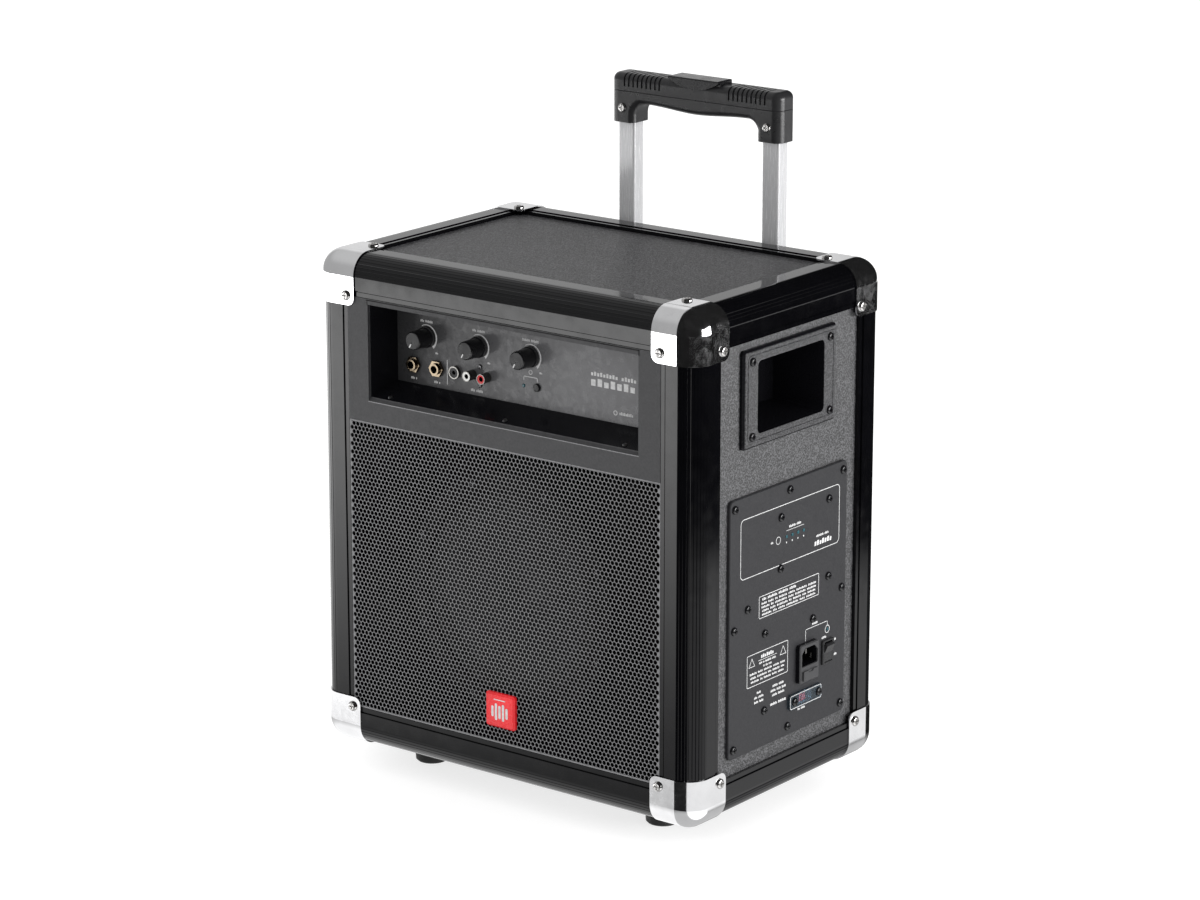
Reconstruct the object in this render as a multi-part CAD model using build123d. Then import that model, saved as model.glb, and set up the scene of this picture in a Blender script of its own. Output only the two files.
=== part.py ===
from build123d import *
import os

os.makedirs("parts", exist_ok=True)

# ---------------------------------------------------------------------------
# Axes: +X right, +Y towards the back, +Z up. Everything is drawn about the
# centre of the cabinet and moved at export, so that the part's origin is on the
# floor, midway between the cabinet's front and the back of the wheels.
# ---------------------------------------------------------------------------
CASE_W = 392.0
CASE_D = 262.0
CASE_H = 426.0
HX = CASE_W / 2
HY = CASE_D / 2
HZ = CASE_H / 2
FOOT_GAP = 20.0
WHEEL_R = 30.0
AXLE_BACK = 32.0
FLOOR_Z = -HZ - FOOT_GAP
AXLE_Y = HY + AXLE_BACK
AXLE_Z = FLOOR_Z + WHEEL_R
SHIFT_Y = -(AXLE_BACK + WHEEL_R) / 2
SHIFT_Z = -FLOOR_Z

# Edge mouldings, corner pieces and panels, all stepped in from the cap faces.
CAP_T = 1.2
CAP_LEAF = 43.5
CAP_LEAF_R = 6.5
RAIL_R = 18.0
RAIL_LEG = 34.0
RAIL_T = 4.0
RAIL_NOSE = 14.5
GROOVE_AT = 29.2
GROOVE_W = 1.2
GROOVE_DEEP = 1.5
LIP_DROP = 0.8
BLOCK = 39.0
PANEL_T = 12.0
PX = HX - CAP_T - RAIL_T
PY = HY - CAP_T - RAIL_T
PZ = HZ - CAP_T - RAIL_T
SCREW_IN = 35.3

# Front: perforated grille below, control bezel above.
FRONT_HALF = 160.5
FRONT_TOP = 177.4
FRONT_SPLIT = 73.0
SPLIT_GAP = 0.2
GRILLE_FACE = -HY + 2.2
GRILLE_T = 1.2
BEZEL_FACE = -HY + 1.7
BEZEL_T = 3.0
SKIRT_T = 2.0
NOTCH = 5.3
BAFFLE_FRONT = -HY + 15.7
POCKET_HALF = 139.0
POCKET_BACK_HALF = 134.4
POCKET_LOW = 93.6
POCKET_HIGH = 172.6
POCKET_BACK_LOW = 103.4
POCKET_BACK_HIGH = 171.6
POCKET_WALL = 2.5
SILL_BEVEL = 2.2
CONTROL_Y = -97.2
CONTROL_T = 2.5

# Controls along the recessed panel.
KNOB_X = {"mic": -102.8, "aux": -47.7, "master": 6.1}
KNOB_Z = 144.6
KNOB_R = 7.6
KNOB_SKIRT_R = 8.7
KNOB_LEN = 17.7
SHAFT_R = 3.0
JACK_X = (-116.8, -92.0)
JACK_Z = 119.6
JACK_BORE_R = 3.2
MINI_X = -72.4
MINI_BORE_R = 1.8
RCA_X = {"white": -54.2, "red": -39.0}
RCA_Z = 120.4
LED_X = -1.1
PAIR_X = 12.8
PAIR_Z = 120.0

# Woofer.
WOOFER_Z = -53.9
WOOFER_R = 104.0
WOOFER_HOLE_R = 91.0
SURROUND_R = 87.0
CONE_R = 73.0

# Right-hand service side.
PLATE_T = 3.0
PLATE_HALF = 81.5
PLATE_LOW = -164.0
PLATE_HIGH = 52.0
PLATE_FACE = PX + PLATE_T
IEC_Y = 24.8
IEC_Z = -106.6
SWITCH_Y = 55.0
SWITCH_Z = -105.9
SELECTOR_Y = 22.9
SELECTOR_Z = -136.6
HANDLE_Y = -2.0
HANDLE_Z = 130.5

# Trolley handle behind the cabinet.
TUBE_X = 75.0
TUBE_Y = HY + 11.4
OUTER = (24.0, 20.5, 1.4)
MIDDLE = (20.4, 16.9, 1.3)
INNER = (17.0, 13.5, 1.2)
OUTER_LOW = -172.0
OUTER_HIGH = 190.0
COLLAR_HIGH = 196.0
INNER_LOW = -66.0
GRIP_LOW = 292.4
GRIP_ARCH = 309.6
GRIP_SPLIT = 319.5
GRIP_HIGH = 334.6
GRIP_HALF = 87.8
GRIP_D = 25.0
WHEEL_X = 118.0
WHEEL_W = 24.0
AXLE_R = 4.0


def block(x0, x1, y0, y1, z0, z1):
    centre = ((x0 + x1) / 2, (y0 + y1) / 2, (z0 + z1) / 2)
    return Pos(*centre) * Box(x1 - x0, y1 - y0, z1 - z0)


def rod_x(x0, x1, y, z, r):
    return Pos((x0 + x1) / 2, y, z) * Rot(0, 90, 0) * Cylinder(r, x1 - x0)


def rod_y(x, y0, y1, z, r):
    return Pos(x, (y0 + y1) / 2, z) * Rot(90, 0, 0) * Cylinder(r, y1 - y0)


def rod_z(x, y, z0, z1, r):
    return Pos(x, y, (z0 + z1) / 2) * Cylinder(r, z1 - z0)


def tube_y(x, y0, y1, z, r, bore):
    return rod_y(x, y0, y1, z, r) - rod_y(x, y0 - 1, y1 + 1, z, bore)


def slab_x(x0, x1, y, z, wide, tall, r):
    """A rounded plate whose face looks along X."""
    face = Plane.YZ * RectangleRounded(wide, tall, r)
    return Pos(x0, y, z) * extrude(face, x1 - x0)


def slab_y(y0, y1, x, z, wide, tall, r):
    """A rounded plate whose face looks along Y."""
    face = Plane.XZ * RectangleRounded(wide, tall, r)
    return Pos(x, y1, z) * extrude(face, y1 - y0)


def loft_y(low_half, low_z, low_y, high_half, high_z, high_y):
    """A straight-sided tapered block between two rectangles facing Y."""
    faces = []
    for half, zs, y in ((low_half, low_z, low_y), (high_half, high_z, high_y)):
        middle = (zs[0] + zs[1]) / 2
        faces.append(Pos(0, y, middle) * (Plane.XZ * Rectangle(2 * half, zs[1] - zs[0])))
    return loft(faces)


def flip(shape, axis):
    plane = {"x": Plane.YZ, "y": Plane.XZ, "z": Plane.XY}[axis]
    return mirror(shape, about=plane)


def both(shape, axis):
    return [shape, flip(shape, axis)]


def spread(shapes, axis):
    return [one for shape in shapes for one in both(shape, axis)]


def carve(shape, cutters):
    for cutter in cutters:
        shape = shape - cutter
    return shape


def rounded_case(inset, r):
    box = Box(2 * (HX - inset), 2 * (HY - inset), 2 * (HZ - inset))
    return fillet(box.edges(), r)


def turned(points, y_axis_at=(0.0, 0.0)):
    """Revolves (radius, y) points about the Y axis and moves it to (x, z)."""
    face = make_face(Polyline([(r, y) for r, y in points], close=True))
    solid = revolve(face, Axis.Y, 360)
    return Pos(y_axis_at[0], 0, y_axis_at[1]) * solid


def save(node, shapes):
    placed = [Pos(0, SHIFT_Y, SHIFT_Z) * s for s in shapes]
    solids = [solid for shape in placed for solid in shape.solids()]
    whole = solids[0] if len(solids) == 1 else Compound(children=solids)
    export_step(whole, f"parts/{node}.step")


# ---------------------------------------------------------------------------
# Fasteners. Each is a pan head and a shank, stored as (solid, shank cutter).
# ---------------------------------------------------------------------------
def cross_slot(size, deep):
    return Box(size, 1.0, deep * 2) + Box(1.0, size, deep * 2)


def pan_screw(head_r, head_t, shank_r, shank_l):
    """Head on +Z, underside of the head at z = 0."""
    head = Pos(0, 0, head_t / 2) * Cylinder(head_r, head_t)
    head = fillet(head.edges().sort_by(Axis.Z)[-1], head_t * 0.8)
    head = head - Pos(0, 0, head_t) * cross_slot(head_r * 1.2, head_t * 0.7)
    return head + Pos(0, 0, -shank_l / 2) * Cylinder(shank_r, shank_l)


AIM = {
    "+x": Rot(0, 90, 0),
    "-x": Rot(0, -90, 0),
    "+y": Rot(-90, 0, 0),
    "-y": Rot(90, 0, 0),
    "+z": Rot(0, 0, 0),
    "-z": Rot(180, 0, 0),
}


def drive(screw, at, way):
    return Pos(*at) * AIM[way] * screw


def hole(at, way, r, length):
    """A cutter for a shank: from just above its seat to `length` below it."""
    reach = length + 1.0
    return Pos(*at) * AIM[way] * Pos(0, 0, 1.0 - reach / 2) * Cylinder(r, reach)


# ---------------------------------------------------------------------------
# Corner caps, the corner pieces under them, and the edge mouldings.
# ---------------------------------------------------------------------------
def corner_mask(size, r):
    """Where the three rounded leaves of the +X, -Y, +Z cap may lie."""
    x, y, z = HX - size, -HY + size, HZ - size
    far = CASE_H
    along_x = block(-far, far, -far, y, z, far)
    along_y = block(x, far, -far, far, z, far)
    along_z = block(x, far, -far, y, -far, far)
    masks = []
    for mask, axis in ((along_x, Axis.X), (along_y, Axis.Y), (along_z, Axis.Z)):
        masks.append(fillet(mask.edges().filter_by(axis), r))
    return masks[0] & masks[1] & masks[2]


shell = rounded_case(0, RAIL_R + CAP_T) - rounded_case(CAP_T, RAIL_R)
one_cap = shell & corner_mask(CAP_LEAF, CAP_LEAF_R)
cap_seats = [
    ((HX - SCREW_IN, -HY, HZ - SCREW_IN), "-y"),
    ((HX, -HY + SCREW_IN, HZ - SCREW_IN), "+x"),
    ((HX - SCREW_IN, -HY + SCREW_IN, HZ), "+z"),
]
CAP_SHANK = 8.0
cap_screw = pan_screw(4.3, 2.0, 1.5, CAP_SHANK)
cap_holes = [hole(at, way, 1.5, CAP_SHANK) for at, way in cap_seats]
one_cap = carve(one_cap, cap_holes)

rail_body = rounded_case(CAP_T, RAIL_R)


def deep_box(x_in, y_in, z_in):
    """Everything deeper than the three insets from the mouldings' outer faces."""
    x = 2 * (HX - CAP_T - x_in)
    y = 2 * (HY - CAP_T - y_in)
    z = 2 * (HZ - CAP_T - z_in)
    return Box(x, y, z)


inside = [
    deep_box(RAIL_T, RAIL_NOSE, RAIL_NOSE),
    deep_box(RAIL_NOSE, RAIL_T, RAIL_NOSE),
    deep_box(RAIL_NOSE, RAIL_NOSE, RAIL_T),
]
edge = CAP_T + BLOCK
corner_cube = block(HX - edge, HX, -HY, -HY + edge, HZ - edge, HZ)
one_block = carve(rail_body & corner_cube, inside + cap_holes)


def moulding(length):
    """An edge moulding along +Z; its outer faces lie on x = 0 and y = 0."""
    leg, t, nose = RAIL_LEG, RAIL_T, RAIL_NOSE
    g0, g1 = GROOVE_AT, GROOVE_AT + GROOVE_W
    outline = [
        (0, 0), (g0, 0), (g0, GROOVE_DEEP), (g1, GROOVE_DEEP), (g1, LIP_DROP),
        (leg, LIP_DROP), (leg, t), (nose, t), (nose, nose), (t, nose), (t, leg),
        (LIP_DROP, leg), (LIP_DROP, g1), (GROOVE_DEEP, g1), (GROOVE_DEEP, g0),
        (0, g0),
    ]
    solid = extrude(make_face(Polyline(outline, close=True)), length)
    corner = solid.edges().filter_by(Axis.Z).sort_by_distance((0, 0, length / 2))[0]
    return fillet(corner, RAIL_R)


def rails():
    tall = 2 * (HZ - edge)
    wide = 2 * (HX - edge)
    deep = 2 * (HY - edge)
    at = (HX - CAP_T, HY - CAP_T, HZ - CAP_T)
    up = Pos(-at[0], -at[1], -tall / 2) * moulding(tall)
    back = Pos(-at[0], deep / 2, -at[2]) * (Rot(90, 0, 0) * moulding(deep))
    side = Pos(-wide / 2, -at[1], -at[2]) * (Rot(0, 90, 0) * (Rot(0, 0, 90) * moulding(wide)))
    out = []
    out += spread(both(up, "x"), "y")
    out += spread(both(back, "x"), "z")
    out += spread(both(side, "y"), "z")
    return out


# ---------------------------------------------------------------------------
# Screws everywhere else. Each list gives the seat and the way the head looks.
# ---------------------------------------------------------------------------
PAN_R = 1.5
SHORT = 8.0
pan = pan_screw(3.6, 2.0, PAN_R, SHORT)
SMALL_R = 1.0
SMALL_L = 2.2
small = pan_screw(2.0, 1.1, SMALL_R, SMALL_L)
LONG = 36.0
long_pan = pan_screw(3.6, 2.0, PAN_R, LONG)

CUP_T = 4.5
CUP_FACE = PX + CUP_T
cup_seats = [
    ((CUP_FACE, HANDLE_Y + sy * 53.5, HANDLE_Z + sz * 30.4), "+x")
    for sy in (-1, 1)
    for sz in (-1, 1)
]
PLATE_GRID = [
    (-75.3, 44.4), (0.0, 44.4), (75.3, 44.4), (-75.3, -56.0), (75.3, -56.0),
    (-75.3, -156.0), (0.0, -156.0), (75.3, -156.0),
]
plate_seats = [((PLATE_FACE, y, z), "+x") for y, z in PLATE_GRID]
BOARD_GRID = [
    (-12.0, 23.9), (55.5, 24.2), (-12.0, -19.0), (55.7, -41.6), (-57.0, -42.4),
    (34.5, -72.8), (-32.9, -68.4), (-32.9, -133.7),
]
board_seats = [((PLATE_FACE, y, z), "+x") for y, z in BOARD_GRID]
SELECTOR_FACE = PLATE_FACE + 2.4
selector_seats = [((SELECTOR_FACE, SELECTOR_Y + dy, SELECTOR_Z), "+x") for dy in (-16.0, 18.0)]
RCA_MID = (RCA_X["white"] + RCA_X["red"]) / 2
rca_seats = [((RCA_MID, CONTROL_Y, RCA_Z + dz), "-y") for dz in (-7.8, 7.8)]
FLANGE_T = 3.0
WOOFER_SCREWS = 8
woofer_seats = [
    ((p.X, BAFFLE_FRONT - FLANGE_T, WOOFER_Z + p.Y), "-y")
    for p in (Vector(97.5, 0).rotate(Axis.Z, 22.5 + 45 * k) for k in range(WOOFER_SCREWS))
]
FOOT_X = 122.6
FOOT_Y = -73.0
FOOT_SEAT = -PZ - 12.0
foot_seats = [((sx * FOOT_X, FOOT_Y, FOOT_SEAT), "-z") for sx in (-1, 1)]
BRACKET_BACK = HY + 27.0
trolley_seats = [
    ((sx * 35.0, BRACKET_BACK, z), "+y") for sx in (-1, 1) for z in (161.0, -165.0)
]


def holes(seats, r, length):
    return [hole(at, way, r, length) for at, way in seats]


def screws(piece, seats):
    return [drive(piece, at, way) for at, way in seats]


# ---------------------------------------------------------------------------
# Cabinet panels.
# ---------------------------------------------------------------------------
EDGE_Y = HY - CAP_T - RAIL_NOSE
EDGE_Z = HZ - CAP_T - RAIL_NOSE
IN_X = PX - PANEL_T
IN_Z = PZ - PANEL_T
CUP_HOLE = (49.0, 33.0, 39.0)
AMP_HOLE = (70.0, -152.0, 40.0)


def cup_opening(x0, x1):
    half, down, up = CUP_HOLE
    return block(x0, x1, HANDLE_Y - half, HANDLE_Y + half, HANDLE_Z - down, HANDLE_Z + up)


def side_cap_holes(side):
    cut = []
    for sy in (-1, 1):
        for sz in (-1, 1):
            at = (side * HX, sy * (HY - SCREW_IN), sz * (HZ - SCREW_IN))
            cut.append(hole(at, "+x" if side > 0 else "-x", 1.5, CAP_SHANK))
    return cut


right = block(IN_X, PX, -EDGE_Y, EDGE_Y, -EDGE_Z, EDGE_Z)
half, low, high = AMP_HOLE
right = right - block(IN_X - 1, PX + 1, -half, half, low, high)
right = right - cup_opening(IN_X - 1, PX + 1)
right = carve(right, side_cap_holes(1) + holes(cup_seats, PAN_R, SHORT))
right = carve(right, holes(plate_seats, PAN_R, SHORT))
save("panel_right", [right])

left_cup_seats = [((-x, y, z), "-x") for (x, y, z), way in cup_seats]
left = block(-PX, -IN_X, -EDGE_Y, EDGE_Y, -EDGE_Z, EDGE_Z)
left = left - cup_opening(-PX - 1, -IN_X + 1)
left = carve(left, side_cap_holes(-1) + holes(left_cup_seats, PAN_R, SHORT))
save("panel_left", [left])

top = block(-IN_X, IN_X, -EDGE_Y, EDGE_Y, IN_Z, PZ)
for sx in (-1, 1):
    for sy in (-1, 1):
        at = (sx * (HX - SCREW_IN), sy * (HY - SCREW_IN), HZ)
        top = top - hole(at, "+z", 1.5, CAP_SHANK)
save("panel_top", [top])
bottom = carve(flip(top, "z"), holes(foot_seats, PAN_R, 20.0))
save("panel_bottom", [bottom])

rear = block(-IN_X, IN_X, PY - PANEL_T, PY, -IN_Z, IN_Z)
for sx in (-1, 1):
    for sz in (-1, 1):
        at = (sx * (HX - SCREW_IN), HY, sz * (HZ - SCREW_IN))
        rear = rear - hole(at, "+y", 1.5, CAP_SHANK)
rear = carve(rear, holes(trolley_seats, PAN_R, LONG))
save("panel_rear", [rear])

BAFFLE_BACK = BAFFLE_FRONT + PANEL_T
baffle = block(-IN_X, IN_X, BAFFLE_FRONT, BAFFLE_BACK, -IN_Z, IN_Z)
baffle = baffle - block(-142, 142, BAFFLE_FRONT - 1, BAFFLE_BACK + 1, 93.0, 178.0)
baffle = baffle - rod_y(0, BAFFLE_FRONT - 1, BAFFLE_BACK + 1, WOOFER_Z, WOOFER_HOLE_R)
baffle = carve(baffle, holes(woofer_seats, PAN_R, SHORT))
save("front_baffle", [baffle])

# ---------------------------------------------------------------------------
# Edges, corners and feet.
# ---------------------------------------------------------------------------
save("edge_rails", rails())
save("corner_blocks", spread(spread(both(one_block, "x"), "y"), "z"))
save("corner_caps", spread(spread(both(one_cap, "x"), "y"), "z"))
all_cap_screws = []
for sx, x_way in ((1, "+x"), (-1, "-x")):
    for sy, y_way in ((1, "+y"), (-1, "-y")):
        for sz, z_way in ((1, "+z"), (-1, "-z")):
            x, y, z = sx * HX, sy * HY, sz * HZ
            dx, dy, dz = sx * SCREW_IN, sy * SCREW_IN, sz * SCREW_IN
            all_cap_screws.append(drive(cap_screw, (x, y - dy, z - dz), x_way))
            all_cap_screws.append(drive(cap_screw, (x - dx, y, z - dz), y_way))
            all_cap_screws.append(drive(cap_screw, (x - dx, y - dy, z), z_way))
save("cap_screws", all_cap_screws)

FOOT_TOP_R = 15.3
FOOT_LOW_R = 14.0
foot_face = [
    (PAN_R, -PZ), (FOOT_TOP_R, -PZ), (FOOT_TOP_R, -PZ - 4), (FOOT_LOW_R, FLOOR_Z + 1.5),
    (FOOT_LOW_R - 1.5, FLOOR_Z), (6.0, FLOOR_Z), (6.0, FOOT_SEAT), (PAN_R, FOOT_SEAT),
]
foot = revolve(Plane.XZ * make_face(Polyline(foot_face, close=True)), Axis.Z, 360)
save("feet", [Pos(sx * FOOT_X, FOOT_Y, 0) * foot for sx in (-1, 1)])

# ---------------------------------------------------------------------------
# Grille, badge and woofer.
# ---------------------------------------------------------------------------
GRILLE_LOW = -FRONT_TOP
GRILLE_HIGH = FRONT_SPLIT - SPLIT_GAP


def tray(face, skin, wall, low, high):
    """A front sheet with edges folded back to the baffle."""
    x = FRONT_HALF
    body = block(-x, x, face, BAFFLE_FRONT, low, high)
    return body - block(-x + wall, x - wall, face + skin, BAFFLE_FRONT + 1, low + wall, high - wall)


def corner_notches(z_edge, z_way):
    cut = []
    for sx in (-1, 1):
        x = sorted((sx * (FRONT_HALF - NOTCH), sx * (FRONT_HALF + 1)))
        z = sorted((z_edge - z_way * NOTCH, z_edge + z_way))
        cut.append(block(x[0], x[1], -HY, BAFFLE_FRONT + 1, z[0], z[1]))
    return cut


grille = tray(GRILLE_FACE, GRILLE_T, GRILLE_T, GRILLE_LOW, GRILLE_HIGH)
save("front_grille", [carve(grille, corner_notches(GRILLE_LOW, -1))])

BADGE_W = 30.5
BADGE_H = 29.4
BADGE_T = 3.8
badge = slab_y(GRILLE_FACE - BADGE_T, GRILLE_FACE, 0, -148.1, BADGE_W, BADGE_H, 2.4)
badge = chamfer(badge.faces().sort_by(Axis.Y)[0].edges(), 1.6)
save("grille_badge", [badge])

flange_y = BAFFLE_FRONT - FLANGE_T
basket = turned([
    (SURROUND_R + 1, flange_y), (WOOFER_R, flange_y), (WOOFER_R, BAFFLE_FRONT),
    (90.0, BAFFLE_FRONT), (88.0, -104.0), (58.0, -62.0), (44.0, -56.0), (44.0, -53.0),
    (30.0, -53.0), (30.0, -57.0), (42.0, -57.5), (55.0, -65.0), (85.0, -106.0),
    (SURROUND_R + 1, -112.0),
])
for k in range(6):
    window = Pos(0, -82.0, 0) * Rot(0, 60 * k, 0) * Pos(70, 0, 0) * Box(44, 24, 46)
    basket = basket - window
basket = Pos(0, 0, WOOFER_Z) * basket
basket = carve(basket, holes(woofer_seats, PAN_R, SHORT))
save("woofer_basket", [basket])
motor = [(0, -53.0), (52.0, -53.0), (56.0, -49.0), (56.0, -27.0), (50.0, -23.0), (0, -23.0)]
save("woofer_motor", [turned(motor, (0, WOOFER_Z))])
CONE_LIP = -113.0
cone = turned([
    (CONE_R - 3, CONE_LIP), (CONE_R, CONE_LIP), (CONE_R, CONE_LIP + 1.2),
    (26.0, -70.0), (19.0, -66.0), (19.0, -58.0), (18.0, -58.0), (18.0, -68.5),
    (24.0, -73.0),
], (0, WOOFER_Z))
dome = turned([(0, -86.0), (12.0, -84.0), (22.0, -78.5), (28.0, -73.5), (25.5, -73.0), (0, -73.0)],
              (0, WOOFER_Z))
save("woofer_cone", [cone + dome])
SURROUND_BACK = -112.6
roll = [(CONE_R, SURROUND_BACK), (CONE_R, SURROUND_BACK - 1.2)]
roll += [(76.0, -116.5), (80.0, -118.6), (84.0, -116.5), (SURROUND_R + 1, SURROUND_BACK - 1.2)]
roll += [(SURROUND_R + 1, SURROUND_BACK), (83.0, -115.3), (80.0, -117.2), (77.0, -115.3)]
save("woofer_surround", [turned(roll, (0, WOOFER_Z))])

# ---------------------------------------------------------------------------
# Control bezel, control panel and everything fixed to it.
# ---------------------------------------------------------------------------
bezel_low = FRONT_SPLIT + SPLIT_GAP
bezel = tray(BEZEL_FACE, BEZEL_T, SKIRT_T, bezel_low, FRONT_TOP)
front_z = (POCKET_LOW, POCKET_HIGH)
back_z = (POCKET_BACK_LOW, POCKET_BACK_HIGH)
wall = POCKET_WALL
outer = loft_y(
    POCKET_HALF + wall, (front_z[0] - wall, front_z[1] + wall), BEZEL_FACE + 1,
    POCKET_BACK_HALF + wall, (back_z[0] - wall, back_z[1] + wall), CONTROL_Y,
)
inner = loft_y(POCKET_HALF, front_z, BEZEL_FACE, POCKET_BACK_HALF, back_z, CONTROL_Y)
bevel_z = (front_z[0] - SILL_BEVEL, front_z[1])
sill = loft_y(
    POCKET_HALF, (bevel_z[0] - 0.2, bevel_z[1]), BEZEL_FACE - 0.2,
    POCKET_HALF, front_z, BEZEL_FACE + SILL_BEVEL,
)
bezel = bezel + outer - inner - sill
FLOOR_TILT = 17.0
BEZEL_SCREW_Y = -123.0
BEZEL_SCREW_Z = 95.6
bezel_seats = [Pos(x, BEZEL_SCREW_Y, BEZEL_SCREW_Z) * Rot(FLOOR_TILT, 0, 0) for x in (-121.0, 0, 121.0)]
for seat in bezel_seats:
    bezel = bezel - seat * Cylinder(SMALL_R, 2 * SMALL_L)
save("control_bezel", [carve(bezel, corner_notches(FRONT_TOP, 1))])
small_screws = [seat * Pos(0, 0, 0.15) * small for seat in bezel_seats]
small_screws += screws(small, rca_seats)
save("small_screws", small_screws)

CONTROL_BACK = CONTROL_Y + CONTROL_T
BUSH_R = 3.5
SHELL_R = 4.15
SHELL_NECK_R = 3.7
JACK_R = 4.75
MINI_R = 3.0
MINI_CORE_R = 4.3
MINI_RING_R = 5.3
PAIR_R = 3.3
LED_R = 1.5
panel = block(-136.6, 136.6, CONTROL_Y, CONTROL_BACK, 101.2, 173.8)
through = [(x, KNOB_Z, BUSH_R) for x in KNOB_X.values()]
through += [(x, JACK_Z, JACK_R) for x in JACK_X]
through += [(x, RCA_Z, SHELL_NECK_R) for x in RCA_X.values()]
through += [(MINI_X, JACK_Z, MINI_R), (LED_X, JACK_Z, LED_R), (PAIR_X, PAIR_Z, PAIR_R + 0.1)]
for x, z, r in through:
    panel = panel - rod_y(x, CONTROL_Y - 1, CONTROL_BACK + 1, z, r)
panel = carve(panel, holes(rca_seats, SMALL_R, SMALL_L))
save("control_panel", [panel])

POT_BACK = -84.0
SHAFT_CLEAR = 0.05
board = [block(-120, 26, POT_BACK, POT_BACK + 1.6, 129.5, 166)]
board.append(block(-82, 26, POT_BACK, POT_BACK + 1.6, 106, 128))
for x in KNOB_X.values():
    pot = block(x - 8, x + 8, CONTROL_BACK, POT_BACK, KNOB_Z - 9, KNOB_Z + 9)
    pot = pot + rod_y(x, CONTROL_Y - 3.6, CONTROL_BACK, KNOB_Z, BUSH_R)
    bore = rod_y(x, CONTROL_Y - 5, CONTROL_BACK + 6, KNOB_Z, SHAFT_R + SHAFT_CLEAR)
    nut = Pos(x, CONTROL_Y, KNOB_Z) * (Plane.XZ * RegularPolygon(6.0, 6))
    nut = extrude(nut, 2.0) - rod_y(x, CONTROL_Y - 3, CONTROL_Y + 1, KNOB_Z, BUSH_R)
    board += [pot - bore, nut]
for x in JACK_X:
    shell_box = block(x - 8, x + 8, CONTROL_BACK, -72.0, JACK_Z - 8, JACK_Z + 8)
    board.append(shell_box - rod_y(x, CONTROL_BACK - 1, -71.0, JACK_Z, JACK_R))
RCA_BACK = -86.0
housing = block(RCA_MID - 15.5, RCA_MID + 15.5, CONTROL_BACK, POT_BACK, RCA_Z - 7, RCA_Z + 7)
for x in RCA_X.values():
    housing = housing - rod_y(x, CONTROL_BACK - 1, RCA_BACK, RCA_Z, SHELL_NECK_R)
board.append(housing)
save("control_board", board)

KNOB_GAP = 0.8
KNOB_TIP = CONTROL_Y - KNOB_GAP - KNOB_LEN
KNOB_BACK = CONTROL_Y - KNOB_GAP
POINTER_W = 1.2
POINTER_DEEP = 0.5
REST_CLOCK = 210.0
for name, x in KNOB_X.items():
    cap = turned([
        (0, KNOB_BACK), (KNOB_SKIRT_R, KNOB_BACK), (KNOB_SKIRT_R, KNOB_BACK - 2.4),
        (KNOB_R + 0.5, KNOB_BACK - 3.6), (KNOB_R, KNOB_TIP + 0.8), (KNOB_R - 0.8, KNOB_TIP),
        (0, KNOB_TIP),
    ])
    cap = cap - rod_y(0, KNOB_BACK - 3.4, KNOB_BACK + 1, 0, 6.4)
    cap = cap - rod_y(0, KNOB_BACK - 13.0, KNOB_BACK + 1, 0, SHAFT_R)
    groove = block(-POINTER_W / 2, POINTER_W / 2, KNOB_TIP - 1, KNOB_TIP + POINTER_DEEP, 1.5, 9)
    cap = cap - Rot(0, REST_CLOCK, 0) * groove
    shaft = rod_y(0, KNOB_BACK - 13.0, CONTROL_BACK + 5.5, 0, SHAFT_R)
    save(f"knob_{name}", [Pos(x, 0, KNOB_Z) * cap, Pos(x, 0, KNOB_Z) * shaft])

JACK_TIP = CONTROL_Y - 4.8
JACK_BACK = -72.0
jacks = []
for x in JACK_X:
    barrel = rod_y(x, JACK_TIP, JACK_BACK, JACK_Z, JACK_R)
    jacks.append(barrel - rod_y(x, JACK_TIP - 1, JACK_BACK - 1, JACK_Z, JACK_BORE_R))
    nut = extrude(Pos(x, CONTROL_Y, JACK_Z) * (Plane.XZ * RegularPolygon(7.2, 6)), 2.6)
    jacks.append(nut - rod_y(x, CONTROL_Y - 4, CONTROL_Y + 1, JACK_Z, JACK_R))
save("mic_jacks", jacks)
MINI_TIP = CONTROL_Y - 2.6
mini = rod_y(MINI_X, MINI_TIP, CONTROL_Y, JACK_Z, MINI_CORE_R)
mini = mini + rod_y(MINI_X, CONTROL_Y, POT_BACK, JACK_Z, MINI_R)
mini = mini - rod_y(MINI_X, MINI_TIP - 1, POT_BACK - 0.8, JACK_Z, MINI_BORE_R)
save("aux_jack", [mini])

RCA_TIP = CONTROL_Y - 9.0
RCA_CORE_R = 3.2
RCA_FACE_R = 3.7
RCA_BORE_R = 2.1
shells = []
for x in RCA_X.values():
    shell = rod_y(x, RCA_TIP, CONTROL_Y, RCA_Z, SHELL_R)
    shell = shell + rod_y(x, CONTROL_Y, RCA_BACK, RCA_Z, SHELL_NECK_R)
    shell = shell - rod_y(x, RCA_TIP - 1, CONTROL_Y - 1, RCA_Z, RCA_FACE_R)
    shells.append(shell - rod_y(x, CONTROL_Y - 2, RCA_BACK + 1, RCA_Z, RCA_CORE_R))
shells.append(tube_y(MINI_X, MINI_TIP - 0.4, CONTROL_Y, JACK_Z, MINI_RING_R, MINI_CORE_R))
save("socket_rings", shells)
for name, x in RCA_X.items():
    core = rod_y(x, RCA_TIP + 0.3, CONTROL_Y - 1, RCA_Z, RCA_FACE_R)
    core = core + rod_y(x, CONTROL_Y - 2, RCA_BACK, RCA_Z, RCA_CORE_R)
    core = core - rod_y(x, RCA_TIP - 1, RCA_BACK - 4, RCA_Z, RCA_BORE_R)
    save(f"rca_{name}", [core])

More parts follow.
